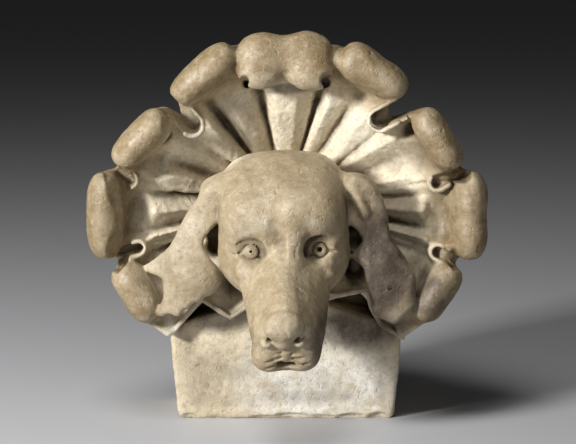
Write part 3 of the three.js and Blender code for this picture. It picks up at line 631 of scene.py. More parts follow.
# The ears: outlines in the front plane from the skull's middle, and where the line that bows
# forward starts at the top and ends at the foot
EARS = [
    ([(-80, 37), (-98, 28), (-112, 11), (-122, -7), (-130, -24), (-139, -36), (-165, -57),
      (-162, -64), (-145, -69), (-142, -77), (-143, -95), (-152, -110), (-145, -116), (-134, -112),
      (-124, -115), (-117, -107), (-110, -104), (-106, -98), (-99, -96), (-92, -90), (-84, -88),
      (-73, -75), (-76, -57), (-84, -46), (-92, -30), (-91, -19), (-84, -10), (-60, 17)],
     -82, -119),
    ([(75, 50), (97, 48), (115, 28), (123, 3), (127, -19), (147, -49), (156, -68),
      (154, -98), (136, -113), (114, -113), (106, -95), (97, -72), (93, -54),
      (79, -43), (86, -32), (91, -22), (83, -9), (65, 5)], 91, 131),
]
EAR_THICKNESS = 11.0


def ear(outline, top_x, foot_x):
    """A hanging ear: a sheet of even thickness that bows forward and dies back at its edges."""
    line = spline(np.array(outline, float) + SKULL[[0, 2]])
    low, high = line.min(0), line.max(0)

    def distance(x, y, z):
        down = (SKULL[2] + 30 - z) / 150
        middle = SKULL[0] + top_x + (foot_x - top_x) * down
        off = np.minimum(np.abs(x - middle) / 40, 1.6)
        bow = 23 + 20 * np.sin(np.clip(down, 0, 1.1) * 2.4) - 14 * down - 15 * off ** 2
        sheet = (np.abs(-y + SKULL[1] - bow) - EAR_THICKNESS / 2) * F(0.85)
        return smooth_max(outline_distance(line, x, z), sheet, 7)

    return distance, (low[0], -200, low[1]), (high[0], -100, high[1])


# Carving the ruff

# How much farther in and farther back the stub behind each tip lies
STUB_INWARDS, STUB_BEHIND = 5, 28

# Stone that joins the ends of neighbouring tips: middle and half width
FILLERS = [((58, -122, 200), 14), ((-61, -120, 197), 10), ((186, -104, 64), 17),
           ((190, -104, -28), 16)]

# The top tip's two lobes, the hollow and the sharp edge under it, and the dimple and the notch
# between the lobes
TOP_LOBES = [(-30, -148, 188), (29, -148, 186)]
TOP_HOLLOW = ((-46, -132, 160), (50, -132, 159), 9)
TOP_EDGE = ((-50, -129, 164), (52, -129, 162), 14)
TOP_DIMPLE = ((-4, -177, 186), (16, 10, 11))
TOP_NOTCH = ((-3, -172, 184), (-3, -166, 160), 2.5, 8)

# The dip across the tip to the right of it
RIGHT_DIP = ((84, -178, 214), (87, -176, 170), 10)


def carve_ruff(stone):
    """The dish, the block, the tips with their creases, the pleat eyes and the collar."""
    stone.add(ruff())
    stone.add(apron(), 2)
    stone.add(block(), 3)
    for row in TIPS:
        stone.add(tip(row, STUB_INWARDS, STUB_BEHIND), 10)
    for row in BOWLS:
        stone.cut(bowl(*row), 10)
    stone.cut(rod(*TOP_HOLLOW), 7)
    for points in COLLARS:
        stone.add(shelf(points), 4)
        stone.add(collar(points), 1.5)
    for row in EYES:
        stone.add(pipe(row), 6)
        stone.add(lip(row), 3)
        stone.cut(channel(row), 1.5)
    for row in TIPS:
        stone.add(tip(row), 4)
    for middle, wide in FILLERS:
        stone.add(egg(middle, (wide, 26, 18)), 5)
    for middle in TOP_LOBES:
        stone.add(egg(middle, (27, 19, 20)), 4)
    stone.cut(rod(*TOP_EDGE), 1.5)
    stone.cut(egg(*TOP_DIMPLE), 7)
    stone.cut(rod(*TOP_NOTCH), 5)
    stone.cut(rod(*RIGHT_DIP), 12)
    for row in CREASES:
        stone.cut(crease(*row), 1.5)
    for row in HOLES:
        stone.cut(hole(*row), 3)
    for a, b, radius in FLUTE_PITS:
        stone.cut(rod(a, b, radius, radius * 0.6), 2)


# Carving the head

# Each eye: side, middle, radius of the drilled pupil, and the folds over it as arcs: how far
# from the middle, first and last angle from straight up, and radius
HOUND_EYES = [
    (-1, (-40.3, -201, -15.5), 2.2, [(17.5, -1.0, 1.1, 1.2), (21.5, -1.0, 0.9, 1.0)]),
    (1, (38.9, -201, -13), 3.2, [(21.5, -1.75, -0.1, 4.8)]),
]
GAZE = np.array([0, -math.cos(math.radians(5)), math.sin(math.radians(5))])
GAZE_UP = np.array([0, math.sin(math.radians(5)), math.cos(math.radians(5))])
BALL_RADIUS = 10.6
BALL_SUNK = 8.5
LID_HALF_WIDTH = 17.5
LID_RISES = (13, -12.5)
LID_RADIUS = 4.2
BALL_GROOVE = (9.2, 1.1)
IRIS_GROOVE = (5.0, 1.4)


def carve_eye(stone, side, middle, drilled, folds):
    """An eye in its socket: swollen lids, ball, iris ring, pupil, corners and folds."""

    def near(across, up, out):
        return np.array(middle) + LEVEL * side * across + GAZE_UP * up + GAZE * out

    face = (LEVEL, GAZE_UP, GAZE)
    stone.cut(egg(near(0, 0, 8), (18, 16, 14), face), 6)
    stone.add(egg(near(3, 17, -7), (16, 6.5, 9), face), 4)
    stone.add(egg(near(2, -17, -8), (16, 6.5, 9), face), 4)
    for rise in LID_RISES:
        lid = [near(LID_HALF_WIDTH * t, rise * (1 - t * t) - 1.5, -5.5 - 2.5 * t * t)
               for t in np.linspace(-1, 1, 9)]
        for a, b in zip(lid[:-1], lid[1:]):
            stone.add(rod(a, b, LID_RADIUS), 2)
    stone.add(egg(near(0, 0, -BALL_SUNK), [BALL_RADIUS] * 3), 0.2)
    stone.cut(ring(near(0, 0, -3.2), GAZE, *BALL_GROOVE), 0.4)
    stone.cut(ring(near(0, 0, 1.3), GAZE, *IRIS_GROOVE), 0.2)
    stone.cut(rod(near(0, 0, 3), near(0, 0, -8), drilled, drilled * 0.8), 0.3)
    stone.cut(rod(near(11, -1, -3), near(21, -3, -5), 2.0, 1.0), 0.8)
    stone.cut(rod(near(-9, -6, -3), near(-15, -10, -3), 1.7, 1.0), 0.8)
    for reach, first, last, radius in folds:
        turns = np.linspace(first, last, 9)
        arc = [near(reach * math.sin(t), reach * math.cos(t), 0.1 * reach - 1) for t in turns]
        for a, b in zip(arc[:-1], arc[1:]):
            stone.cut(rod(a, b, radius), radius * 1.5)


# Brow ridges in the head's frame: from, to, both radii and blend
BROW_RIDGES = [((-45, 37, 61), (-18, 49, 59), 6, 6, 6), ((-20, 46, 62), (-20, 14, 80), 5, 4, 5),
               ((13, 52, 55), (9, 6, 86), 12, 13, 12)]
BROW_FURROWS = [((-9, 47, 73), (-4, 28, 83), 3.5, 5), ((-4, 28, 83), (-1, 17, 95), 5, 2)]

# The right brow, and swellings below and above the right eye and below the left one
RIGHT_BROW = ((22, -190, 14), (52, -182, 13), 8, 7)
EYE_SWELLINGS = [((44, -199, -43), (12, 8, 8), 5), ((50, -193, 0), (12, 9, 8), 4),
                 ((-44, -199, -40), (14, 8, 9), 8)]


def carve_brows(stone):
    """The brows, the furrow between them and the swellings round the eyes."""
    for a, b, ra, rb, blend in BROW_RIDGES:
        stone.add(head_rod(a, b, ra, rb), blend)
    for a, b, ra, rb in BROW_FURROWS:
        stone.cut(head_rod(a, b, ra, rb), 7)
    stone.add(rod(*RIGHT_BROW), 10)
    for place, radii, blend in EYE_SWELLINGS:
        stone.add(egg(place, radii), blend)


def carve_nose(stone):
    """The nose pad with its wings, the nostrils and the cleft below them."""
    stone.add(head_egg((0, -10, 185), (23, 18, 18)), 2)
    stone.add(head_egg((-1, -24, 189), (12, 13, 12)), 2)
    for side in (-1, 1):
        stone.add(head_egg((side * 18 - 1, -28, 187), (9, 7, 11)), 2)
        stone.cut(head_rod((side * 30 - 1, -10, 190), (side * 19 - 1, -20, 201), 2.2, 4.6), 1)
        stone.cut(head_rod((side * 19 - 1, -20, 201), (side * 13 - 1, -24, 186), 4.6, 3), 1)
    stone.cut(head_rod((-9, -38, 200), (8, -39, 200), 5.5), 1.5)
    stone.cut(head_rod((-1, -26, 204), (-1, -37, 201), 1.5), 1.5)


# Creases of the lips, from outer to inner end on the left and back on the right, and how far
# out they start and end
LIP_CREASES = [
    ((-27, -46), (-8, -42)), ((-28, -54), (-7, -48)), ((-25, -62), (-8, -55)),
    ((4, -44), (22, -40)), ((5, -50), (24, -48)), ((8, -56), (24, -56)),
]
CREASE_OUTER, CREASE_INNER = 197, 192.5


def carve_mouth(stone):
    """The flews and chin, the closed mouth between them and the creased lips."""
    for side in (-1, 1):
        stone.add(head_egg((MUZZLE_SHIFT + side * 20 - 3, -57, 177), (19, 20, 20)), 6)
    stone.add(head_rod((-12, -70, 180), (16, -69, 180), 6.5), 4)
    stone.cut(head_egg((1, -60, 197), (12, 5, 22)), 2)
    for side in (-1, 1):
        stone.cut(head_rod((1 + side * 9, -39, 200), (1 + side * 4, -57, 199), 2.6, 3.2), 1.5)
    stone.add(head_egg((1, -47, 190), (6, 9, 6)), 1.5)
    for (u0, v0), (u1, v1) in LIP_CREASES:
        w0, w1 = (CREASE_OUTER, CREASE_INNER) if u0 < 0 else (CREASE_INNER, CREASE_OUTER)
        start, end = (MUZZLE_SHIFT + u0, v0, w0), (MUZZLE_SHIFT + u1, v1, w1)
        stone.cut(head_rod(start, end, 1.7), 1.2)


def carve_head(stone):
    """Neck, skull, cheeks, muzzle with its bridge, and the face."""
    stone.add(rod((0, -40, 0), at(0, 0, 0), 52, 50), 8)
    stone.add(head_egg((0, 0, 0), (75, 75, 80)), 6)
    stone.add(head_egg((0, 7, 6), (75, 65, 70), 3.4), 8)
    for side in (-1, 1):
        stone.add(head_egg((side * 37, -26, 40), (35, 44, 42)), 20)
    stone.add(muzzle(), 14)
    stone.add(head_rod((0, -6, 60), (MUZZLE_SHIFT - 1, -10, 172), 19, 15), 9)
    carve_brows(stone)
    for row in HOUND_EYES:
        carve_eye(stone, *row)
    carve_mouth(stone)
    carve_nose(stone)


# Carving the ears

EAR_ROOTS = [(-76, -146, 50), (80, -146, 52)]

# On the right ear, the raised fold by the skull and the rolled lower edge
EAR_RIDGE = ((77, -163, 54), (92, -170, 24), 7, 5)
EAR_HEM = [((108, -161, -92), (127, -162, -99)), ((127, -162, -99), (147, -158, -82))]

# Lengthwise hollows: three on the right ear and one on the left: from, to and radius
EAR_FOLDS = [((97, -180, 20), (106, -184, -36), 6), ((106, -184, -36), (117, -179, -78), 6),
             ((84, -176, 20), (92, -182, -30), 4), ((-110, -186, 6), (-124, -184, -54), 6)]

# A hole and a crack in the right ear
EAR_HOLE = ((122, -190, -62), (122, -160, -64), 3, 2)
EAR_CRACK = ((113, -178, -46), (117, -176, -68), 1.4)

# The open gaps between head, ears and collar, hollowed far back: from, to and radius
HEAD_GAPS = [
    ((-80, -150, 2), (-82, -34, 0), 9), ((-84, -150, -13), (-86, -34, -14), 12),
    ((-83, -150, -30), (-86, -34, -30), 12), ((78, -150, 4), (80, -34, 2), 9),
    ((82, -150, -12), (84, -34, -12), 11), ((82, -150, -30), (86, -34, -30), 11),
    ((78, -140, -54), (84, -40, -50), 11),
]


def carve_ears(stone):
    """Both ears with their folds, and the gaps behind their inner edges."""
    for row in EARS:
        stone.add(ear(*row), 3)
    for place in EAR_ROOTS:
        stone.add(egg(place, (24, 18, 17)), 14)
    stone.add(rod(*EAR_RIDGE), 7)
    for a, b in EAR_HEM:
        stone.add(rod(a, b, 7), 6)
    for a, b, radius in EAR_FOLDS:
        stone.cut(rod(a, b, radius), 6)
    stone.cut(rod(*EAR_HOLE), 1)
    stone.cut(rod(*EAR_CRACK), 1)
    for a, b, radius in HEAD_GAPS:
        stone.cut(rod(a, b, radius), 3)


# Chips along the block's lower front edge: place, half length, depth and height
CHIPS = [(-26, 20, 6, 4), (8, 26, 8, 7), (46, 20, 6, 5), (78, 22, 8, 7), (112, 14, 9, 8),
         (-118, 12, 6, 7), (-84, 9, 4, 4)]


def carve(stone):
    """The whole corbel, in the order in which one form lies over another."""
    carve_ruff(stone)
    carve_head(stone)
    carve_ears(stone)
    for x, along, deep, tall in CHIPS:
        stone.cut(egg((x, -BLOCK_DEPTH - 1, -BLOCK_UNDERSIDE), (along, deep, tall)), 2)


# From the field to a mesh


def surface(grid):
    """One corner in every cell that the surface crosses, and a face across every crossed edge."""
    field = grid.field
    for axis in range(3):
        for end in (0, -1):
            field[tuple(end if i == axis else slice(None) for i in range(3))] = 1
    inside = field < 0
    n = np.array(field.shape) - 1
    total = np.zeros(n, np.int8)
    for i, j, k in CORNERS:
        total += inside[i:i + n[0], j:j + n[1], k:k + n[2]]
    cells = np.argwhere((total > 0) & (total < 8))
    names = np.full(n, -1, np.int32)
    names[tuple(cells.T)] = np.arange(len(cells))
    values = {c: field[tuple((cells + c).T)].astype(float) for c in CORNERS}
    sums = np.zeros((len(cells), 3))
    counts = np.zeros(len(cells))
    for a in CORNERS:
        for axis in range(3):
            if a[axis] == 0:
                b = tuple(1 if i == axis else a[i] for i in range(3))
                crossed = (values[a] < 0) != (values[b] < 0)
                t = values[a] / np.where(crossed, values[a] - values[b], 1)
                point = np.array(a, float) + t[:, None] * (np.array(b) - np.array(a))
                sums[crossed] += point[crossed]
                counts[crossed] += 1
    verts = grid.low + grid.cell * (cells + sums / counts[:, None])
    faces = []
    for axis in range(3):
        p, q = (axis + 1) % 3, (axis + 2) % 3
        lower = tuple(slice(0, -1) if i == axis else slice(None) for i in range(3))
        upper = tuple(slice(1, None) if i == axis else slice(None) for i in range(3))
        edges = np.argwhere(inside[lower] != inside[upper])
        filled = inside[lower][tuple(edges.T)]
        quad = []
        for dp, dq in ((-1, -1), (0, -1), (0, 0), (-1, 0)):
            cell = edges.copy()
            cell[:, p] += dp
            cell[:, q] += dq
            quad.append(names[tuple(cell.T)])
        quad = np.stack(quad, 1)
        faces.append(np.where(filled[:, None], quad, quad[:, ::-1]))
    return verts, np.concatenate(faces)


# Wear of the surface

# Waves of hand work: height, width and seed
WAVES = [(0.7, 34, 1), (0.5, 13, 2), (0.28, 5, 3)]

# Rough tooling left in the dish
TOOLING = [(0.5, 4.2, 6), (0.35, (9, 9, 20), 7)]
PIT_DEPTH, PIT_SIZE, PIT_SEED, PIT_SHARE = 2.6, 5.5, 4, 0.6
HAIR_HEIGHT, HAIR_SIZE, HAIR_SEED = 0.3, (3.4, 4.6, 60), 5


def between(block, cells, past):
    """Values inside cells of a block that repeats, at these shares past their low corners."""
    total = np.zeros(len(cells))
    for c in CORNERS:
        share = np.prod(np.where(c, past, 1 - past), 1)
        total += share * block[tuple(((cells + c) % block.shape).T)]
    return total


def noise(points, size, seed):
    """Smooth random heights between -1 and 1, with hills about as wide as size."""
    table = np.random.default_rng(seed).uniform(-1, 1, (32, 32, 32))
    p = points / np.array(size)
    cells = np.floor(p).astype(int)
    past = p - cells
    return between(table, cells, past * past * (3 - 2 * past))


def corner_normals(verts, quads):
    """Normals at the corners, averaged from the faces round them."""
    a, b, c, d = (verts[quads[:, i]] for i in range(4))
    across = np.cross(c - a, d - b)
    normals = np.zeros_like(verts)
    for i in range(4):
        for axis in range(3):
            normals[:, axis] += np.bincount(quads[:, i], across[:, axis], len(verts))
    return normals / np.maximum(np.linalg.norm(normals, axis=1, keepdims=True), 1e-9)


def worn(verts, normals):
    """Moves the corners by the waves of hand work, small pits and the hair of the muzzle."""
    free = np.clip((-verts[:, 1] - 1) / 6, 0, 1)
    height = sum(tall * noise(verts, size, seed) for tall, size, seed in WAVES)
    height -= PIT_DEPTH * np.clip(noise(verts, PIT_SIZE, PIT_SEED) - PIT_SHARE, 0, 1)
    dish = (np.hypot(verts[:, 0], verts[:, 2]) < 175) & (verts[:, 1] > -140) & (verts[:, 2] > -60)
    height += dish * sum(tall * noise(verts, size, seed) for tall, size, seed in TOOLING)
    local = (verts - SKULL) @ HEAD.T
    hair = np.clip((local[:, 2] - 100) / 40, 0, 1) * np.clip((60 - np.abs(local[:, 0])) / 8, 0, 1)
    hair *= np.clip((30 - np.abs(local[:, 1] + 30) + 30) / 20, 0, 1)
    height += HAIR_HEIGHT * hair * noise(local, HAIR_SIZE, HAIR_SEED)
    return verts + (height * free)[:, None] * normals


def blurred(block, steps):
    """Evens a block of values out with repeated three-cell averages."""
    for _ in range(steps):
        for axis in range(3):
            ahead = np.roll(block, 1, axis)
            behind = np.roll(block, -1, axis)
            block = (ahead + 2 * block + behind) * F(0.25)
    return block


def sampled(block, low, cell, points):
    """Values of the block at loose points, in between its cells."""
    p = np.clip((points - low) / cell, 0, np.array(block.shape) - 1.001)
    cells = np.floor(p).astype(int)
    return between(block, cells, p - cells)


SAMPLE_STEP = 4.0
NEAR_ROUNDS = 6
FAR_ROUNDS = 40


def stone_around(grid, points):
    """How much stone lies within reach of each point, near by and farther off: over a half in
    hollows, under a half on ridges and edges."""
    step = max(int(round(SAMPLE_STEP / grid.cell)), 1)
    solid = (grid.field[::step, ::step, ::step] < 0).astype(F)
    cell = grid.cell * step
    near = blurred(solid, NEAR_ROUNDS)
    far = blurred(near, FAR_ROUNDS)
    return [sampled(block, grid.low, cell, points) for block in (near, far)]


# Making the mesh with Blender's own tools


def deselect():
    bpy.ops.object.select_all(action="DESELECT")


def make_active(piece):
    deselect()
    piece.select_set(True)
    bpy.context.view_layer.objects.active = piece


def mesh_piece(name, verts, quads):
    """A new object from corners in millimetres and faces of four corners."""
    mesh = bpy.data.meshes.new(name)
    mesh.vertices.add(len(verts))
    mesh.vertices.foreach_set("co", (verts * MM).astype(F).ravel())
    mesh.loops.add(4 * len(quads))
    mesh.loops.foreach_set("vertex_index", quads.astype(np.int32).ravel())
    mesh.polygons.add(len(quads))
    mesh.polygons.foreach_set("loop_start", np.arange(0, 4 * len(quads), 4, dtype=np.int32))
    mesh.update(calc_edges=True)
    piece = bpy.data.objects.new(name, mesh)
    bpy.context.collection.objects.link(piece)
    return piece


def trim(place, outwards):
    """Cuts the piece in edit mode off flat at a plane and closes the cut."""
    bpy.ops.mesh.select_all(action="SELECT")
    bpy.ops.mesh.bisect(plane_co=place, plane_no=outwards, use_fill=True, clear_outer=True)


def keep_largest(piece):
    """Deletes what isn't joined to the foremost corner."""
    mesh = piece.data
    co = np.empty(3 * len(mesh.vertices), F)
    mesh.vertices.foreach_get("co", co)
    foremost = int(co.reshape(-1, 3)[:, 1].argmin())
    bpy.ops.mesh.select_all(action="DESELECT")
    bpy.ops.object.mode_set(mode="OBJECT")
    mesh.vertices[foremost].select = True
    bpy.ops.object.mode_set(mode="EDIT")
    bpy.ops.mesh.select_linked()
    bpy.ops.mesh.select_all(action="INVERT")
    bpy.ops.mesh.delete(type="VERT")


def thin(piece, wanted):
    """Takes away the faces that matter least to the shape."""
    piece.data.calc_loop_triangles()
    count = len(piece.data.loop_triangles)
    if count > wanted:
        thinner = piece.modifiers.new("Thin", "DECIMATE")
        thinner.ratio = wanted / count
        thinner.use_collapse_triangulate = True
        bpy.ops.object.modifier_apply(modifier=thinner.name)


def corners(piece):
    """The piece's corners in millimetres."""
    co = np.empty(3 * len(piece.data.vertices), F)
    piece.data.vertices.foreach_get("co", co)
    return co.reshape(-1, 3).astype(float) / MM


def store(piece, name, values):
    """Keeps one value a corner for the material to read."""
    layer = piece.data.attributes.new(name, "FLOAT", "POINT")
    layer.data.foreach_set("value", np.clip(values, 0, 1).astype(F))


# Materials


class Nodes:
    """Short ways to add and join shader nodes."""

    def __init__(self, material):
        self.tree = material.node_tree

    def put(self, value, socket):
        """Joins another node's socket to this one, or gives it a plain value."""
        if isinstance(value, bpy.types.NodeSocket):
            self.tree.links.new(value, socket)
        else:
            socket.default_value = value

    def add(self, kind, **inputs):
        node = self.tree.nodes.new("ShaderNode" + kind)
        for name, value in inputs.items():
            self.put(value, node.inputs[name.replace("_", " ")])
        return node

    def attribute(self, name):
        node = self.add("Attribute")
        node.attribute_name = name
        return node.outputs["Fac"]

    def noise(self, place, scale, detail=4.0, roughness=0.55):
        node = self.add("TexNoise", Vector=place, Scale=scale, Detail=detail, Roughness=roughness)
        return node.outputs["Fac"]

    def spread(self, value, low, high, to_low=0.0, to_high=1.0):
        node = self.add("MapRange", Value=value)
        for name, number in zip(("From Min", "From Max", "To Min", "To Max"),
                                (low, high, to_low, to_high)):
            node.inputs[name].default_value = number
        return node.outputs["Result"]

    def math(self, kind, a, b):
        node = self.add("Math")
        node.operation = kind
        self.put(a, node.inputs[0])
        self.put(b, node.inputs[1])
        return node.outputs["Value"]

    def times(self, a, b):
        return self.math("MULTIPLY", a, b)

    def mix(self, share, below, colour):
        """Lays a colour over what is below it."""
        node = self.add("Mix")
        node.data_type = "RGBA"
        self.put(share, node.inputs[0])
        self.put(below if isinstance(below, bpy.types.NodeSocket) else (*below, 1), node.inputs[6])
        self.put((*colour, 1), node.inputs[7])
        return node.outputs[2]


def new_material(name):
    """A material and its main shader."""
    material = bpy.data.materials.new(name)
    material.use_nodes = True
    return material, material.node_tree.nodes["Principled BSDF"]


# What the mesh keeps at each corner for the limestone
MARKS = ("near_stone", "far_stone", "patina", "scuff", "shade_and_grime")


def limestone(colours):
    """Pale stone under patina, with rubbed crests, scuffs, soot with painted shade in the hollows,
    and a brown film of grime with painted shadow.
    """
    material, shader = new_material("worn_limestone")
    nodes = Nodes(material)
    place = nodes.add("TexCoord").outputs["Object"]
    near, far, patina, scuff, shade_and_grime = (nodes.attribute(name) for name in MARKS)
    clouds = nodes.noise(place, 14, 6, 0.6)
    spots = nodes.noise(place, 150, 5, 0.7)
    blotches = nodes.noise(place, 48, 6, 0.65)
    grain = nodes.noise(place, 420, 3, 0.6)

    warm = nodes.times(nodes.spread(clouds, 0.36, 0.66), 0.55)
    colour = nodes.mix(warm, colours.pale, colours.warm)
    waxed = nodes.times(patina, nodes.spread(blotches, 0.30, 0.62, 0.72, 1))
    colour = nodes.mix(waxed, colour, colours.patina)
    crest = nodes.times(nodes.spread(near, 0.40, 0.24), 0.22)
    colour = nodes.mix(crest, colour, colours.crest)
    white = nodes.times(scuff, nodes.spread(blotches, 0.34, 0.54, 0.15, 1))
    colour = nodes.mix(white, colour, colours.scuff)
    # Soot and painted shade: darker where much stone lies close round a point, in hollows, creases
    # and gaps
    hollow_soot_and_shade = nodes.times(nodes.spread(near, 0.55, 0.76), nodes.spread(blotches, 0.28, 0.6, 0.55, 1))
    colour = nodes.mix(hollow_soot_and_shade, colour, colours.soot_and_shade)
    # Soot and painted shade in deep recesses, where the stone farther round is thick
    deep_soot_and_shade = nodes.times(nodes.spread(far, 0.58, 0.85), 0.5)
    colour = nodes.mix(deep_soot_and_shade, colour, colours.soot_and_shade)
    colour = nodes.mix(nodes.spread(spots, 0.48, 0.70, 0.0, 0.35), colour, colours.patina)
    colour = nodes.mix(nodes.spread(spots, 0.46, 0.28, 0.0, 0.25), colour, colours.crest)
    # Painted shadow and grime: a near-black brown film over the places that lie in cast shadow
    shade_and_grime_share = nodes.times(shade_and_grime, nodes.spread(blotches, 0.25, 0.6, 0.65, 0.97))
    colour = nodes.mix(shade_and_grime_share, colour, colours.shade_and_grime)
    colour = nodes.mix(nodes.spread(grain, 0.55, 0.75, 0.0, 0.35), colour, colours.soot_and_shade)
    nodes.put(colour, shader.inputs["Base Color"])

    rough = nodes.spread(blotches, 0.3, 0.7, 0.62, 0.80)
    rough = nodes.math("SUBTRACT", rough, nodes.times(patina, 0.18))
    nodes.put(rough, shader.inputs["Roughness"])
    pits = nodes.spread(nodes.noise(place, 230, 2, 0.5), 0.60, 0.72, 0, -1)
    relief = nodes.math("ADD", nodes.times(grain, 0.35), pits)
    relief = nodes.math("ADD", relief, nodes.times(nodes.noise(place, 110, 5), 1.2))
    bump = nodes.add("Bump", Height=relief, Strength=0.6, Distance=0.0009)
    nodes.put(bump.outputs["Normal"], shader.inputs["Normal"])
    return material


def plain(name, colour, roughness):
    """A material of one colour."""
    material, shader = new_material(name)
    shader.inputs["Base Color"].default_value = (*colour, 1)
    shader.inputs["Roughness"].default_value = roughness
    return material


# Whitish scuffs: centre x, z, y, reach and how strong
SCUFFS = [((9, 42, -208), 12, 0.4), ((-46, 11, -204), 10, 0.5), ((-35, 16, -209), 10, 0.5),
          ((-24, 21, -213), 10, 0.5), ((28, 22, -213), 9, 0.4), ((18, -190, -104), 74, 0.9),
          ((92, -188, -104), 46, 0.9), ((-139, -125, -120), 14, 1.0)]

# Painted shadow and brown grime, laid as a dark film where cast shadows and shade fall: centre x
# and z, its range of depths, half sizes across and up, and how thick
SHADE_AND_GRIME = [((112, -35), (-135, -400), (44, 95), 1.0), ((165, -72), (-110, -400), (36, 40), 0.8),
          ((44, -112), (-190, -400), (24, 60), 0.85), ((118, -118), (-105, -400), (36, 26), 0.7),
          ((-150, -30), (-130, -400), (50, 90), 0.12), ((-205, 20), (-60, -400), (30, 70), 0.12),
          ((-113, 120), (-90, -400), (24, 30), 0.4), ((80, -125), (-60, -400), (75, 34), 0.95),
          ((-78, -108), (-60, -400), (56, 26), 0.6), ((-60, -62), (-40, -150), (26, 30), 0.85),
          ((84, -56), (-40, -150), (20, 22), 0.95), ((-84, -14), (-30, -150), (18, 34), 0.95),
          ((80, -12), (-30, -150), (16, 34), 0.95), ((140, 8), (-40, -150), (48, 42), 0.5),
          ((140, -30), (-40, -150), (40, 36), 0.5), ((-62, 125), (-40, -150), (34, 40), 0.25),
          ((-80, -100), (-108, -150), (70, 34), 0.35), ((85, -92), (-108, -150), (65, 40), 0.4),
          ((-110, 20), (-40, -150), (50, 60), 0.2), ((150, 85), (-40, -150), (50, 34), 0.2),
          ((0, 166), (-60, -141), (52, 8), 0.75), ((30, -208), (-95, -400), (75, 8), 0.35)]


def finish_marks(verts):
    """Where patina, scuffs, and brown grime with painted shadow lie, from 0 to 1."""
    x, y, z = verts.T
    out = np.hypot(x, z)
    rim = np.clip((out - 165) / 25, 0, 1) * np.clip((-y - 60) / 40, 0, 1)
    rim *= np.clip((z + 125) / 12, 0.45, 1)
    crown = np.clip((-y - 128) / 26, 0, 1)
    from_skull = np.hypot(x - SKULL[0], z - SKULL[2])
    skull = np.clip((90 - from_skull) / 6, 0, 1) * np.clip((-y - 98) / 10, 0, 1)
    patina = np.maximum(rim, 0.85 * np.maximum(crown, skull))
    scuff = np.zeros(len(verts))
    for (sx, sz, sy), reach, share in SCUFFS:
        off = np.sqrt((x - sx) ** 2 + (z - sz) ** 2 + (y - sy) ** 2)
        scuff = np.maximum(scuff, share * np.clip(1.3 - off / reach, 0, 1))
    top_flutes = np.clip((z - 40) / 50, 0, 1) * np.clip((-y - 55) / 20, 0, 1)
    top_flutes *= np.clip((out - 93) / 10, 0, 1) * (out < 165) * (y > -140)
    shade_and_grime = np.zeros(len(verts))
    # Painted shadow with grime, patch by patch
    for (gx, gz), (back, front), (wide, tall), share in SHADE_AND_GRIME:
        off = np.hypot((x - gx) / wide, (z - gz) / tall)
        depth = np.clip((back - y) / 12, 0, 1) * np.clip((y - front) / 12, 0, 1)
        shade_and_grime = np.maximum(shade_and_grime, share * np.clip(2 - 2 * off, 0, 1) * depth)
    return patina, np.maximum(scuff, 0.2 * top_flutes), shade_and_grime


# The add-on

FIELD_BOX = ((-250, -322, -250), (250, 14, 248))
BACK_SPARE = 8
FOOT_SPARE = 6
SHARP_ANGLE = 55


def colour_property(name, description, value):
    """A colour that the panel shows."""
    return bpy.props.FloatVectorProperty(name=name, description=description, subtype="COLOR",
                                         size=3, min=0, max=1, default=value)


class CorbelColours(bpy.types.PropertyGroup):
    """Colours of the worn limestone."""

    pale: colour_property("Pale stone", "Rubbed stone away from the hollows", (0.75, 0.665, 0.50))
    warm: colour_property("Warm stone", "Warmer beds in the stone", (0.62, 0.50, 0.31))
    patina: colour_property("Patina", "Waxy yellow-brown skin", (0.18, 0.124, 0.056))
    crest: colour_property("Rubbed crests", "Edges rubbed pale", (0.66, 0.59, 0.46))
    scuff: colour_property("Scuffs", "Whitish bruises", (0.86, 0.83, 0.75))
    # Painted shadow and grime: the dark brown film laid where shadow falls
    shade_and_grime: colour_property("Grime", "Brown film on the shaded side", (0.042, 0.027, 0.018))
    # Soot and painted shade: the dark colour of the hollows, also used for the fine dark grain
    soot_and_shade: colour_property("Soot", "Dirt in the hollows", (0.075, 0.05, 0.028))


class CorbelSizes(bpy.types.PropertyGroup):
    """How finely the stone is carved."""

    cell: bpy.props.FloatProperty(name="Finest step", description="Cell of the carving",
                                  default=0.0014, min=0.001, max=0.005, unit="LENGTH")
    faces: bpy.props.IntProperty(name="Faces", description="Triangles kept on the stone",
                                 default=192000, min=10000, max=199000)


class CarveCorbel(bpy.types.Operator):
    """Carves the whole corbel from one block of limestone"""

    bl_idname = "corbel.carve"
    bl_label = "Carve the corbel"

    def execute(self, context):
        sizes = context.scene.corbel_sizes
        cell = sizes.cell / MM
        grid = Grid(*FIELD_BOX, cell)
        carve(grid)
        grid.field[:, grid.axes[1] > BACK_SPARE, :] = 1
        grid.field[:, :, grid.axes[2] < -BLOCK_UNDERSIDE - FOOT_SPARE] = 1
        verts, quads = surface(grid)
        verts = worn(verts, corner_normals(verts, quads))
        stone = mesh_piece("carved_stone", verts, quads)
        make_active(stone)
        bpy.ops.object.mode_set(mode="EDIT")
        trim((0, 0, 0), (0, 1, 0))
        trim((0, 0, -BLOCK_UNDERSIDE * MM), (0, 0, -1))
        bpy.ops.object.mode_set(mode="OBJECT")
        bpy.ops.object.mode_set(mode="EDIT")
        keep_largest(stone)
        bpy.ops.mesh.select_all(action="SELECT")
        bpy.ops.mesh.quads_convert_to_tris()
        bpy.ops.object.mode_set(mode="OBJECT")
        if not stone.data.polygons:
            raise RuntimeError("The carving left no stone")
        thin(stone, sizes.faces)
        bpy.ops.object.shade_smooth_by_angle(angle=math.radians(SHARP_ANGLE))
        points = corners(stone)
        for name, values in zip(MARKS, (*stone_around(grid, points), *finish_marks(points))):
            store(stone, name, values)
        stone.data.materials.append(limestone(context.scene.corbel_colours))
        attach(stone, "root")
        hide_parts("hound_corbel")
        return {"FINISHED"}


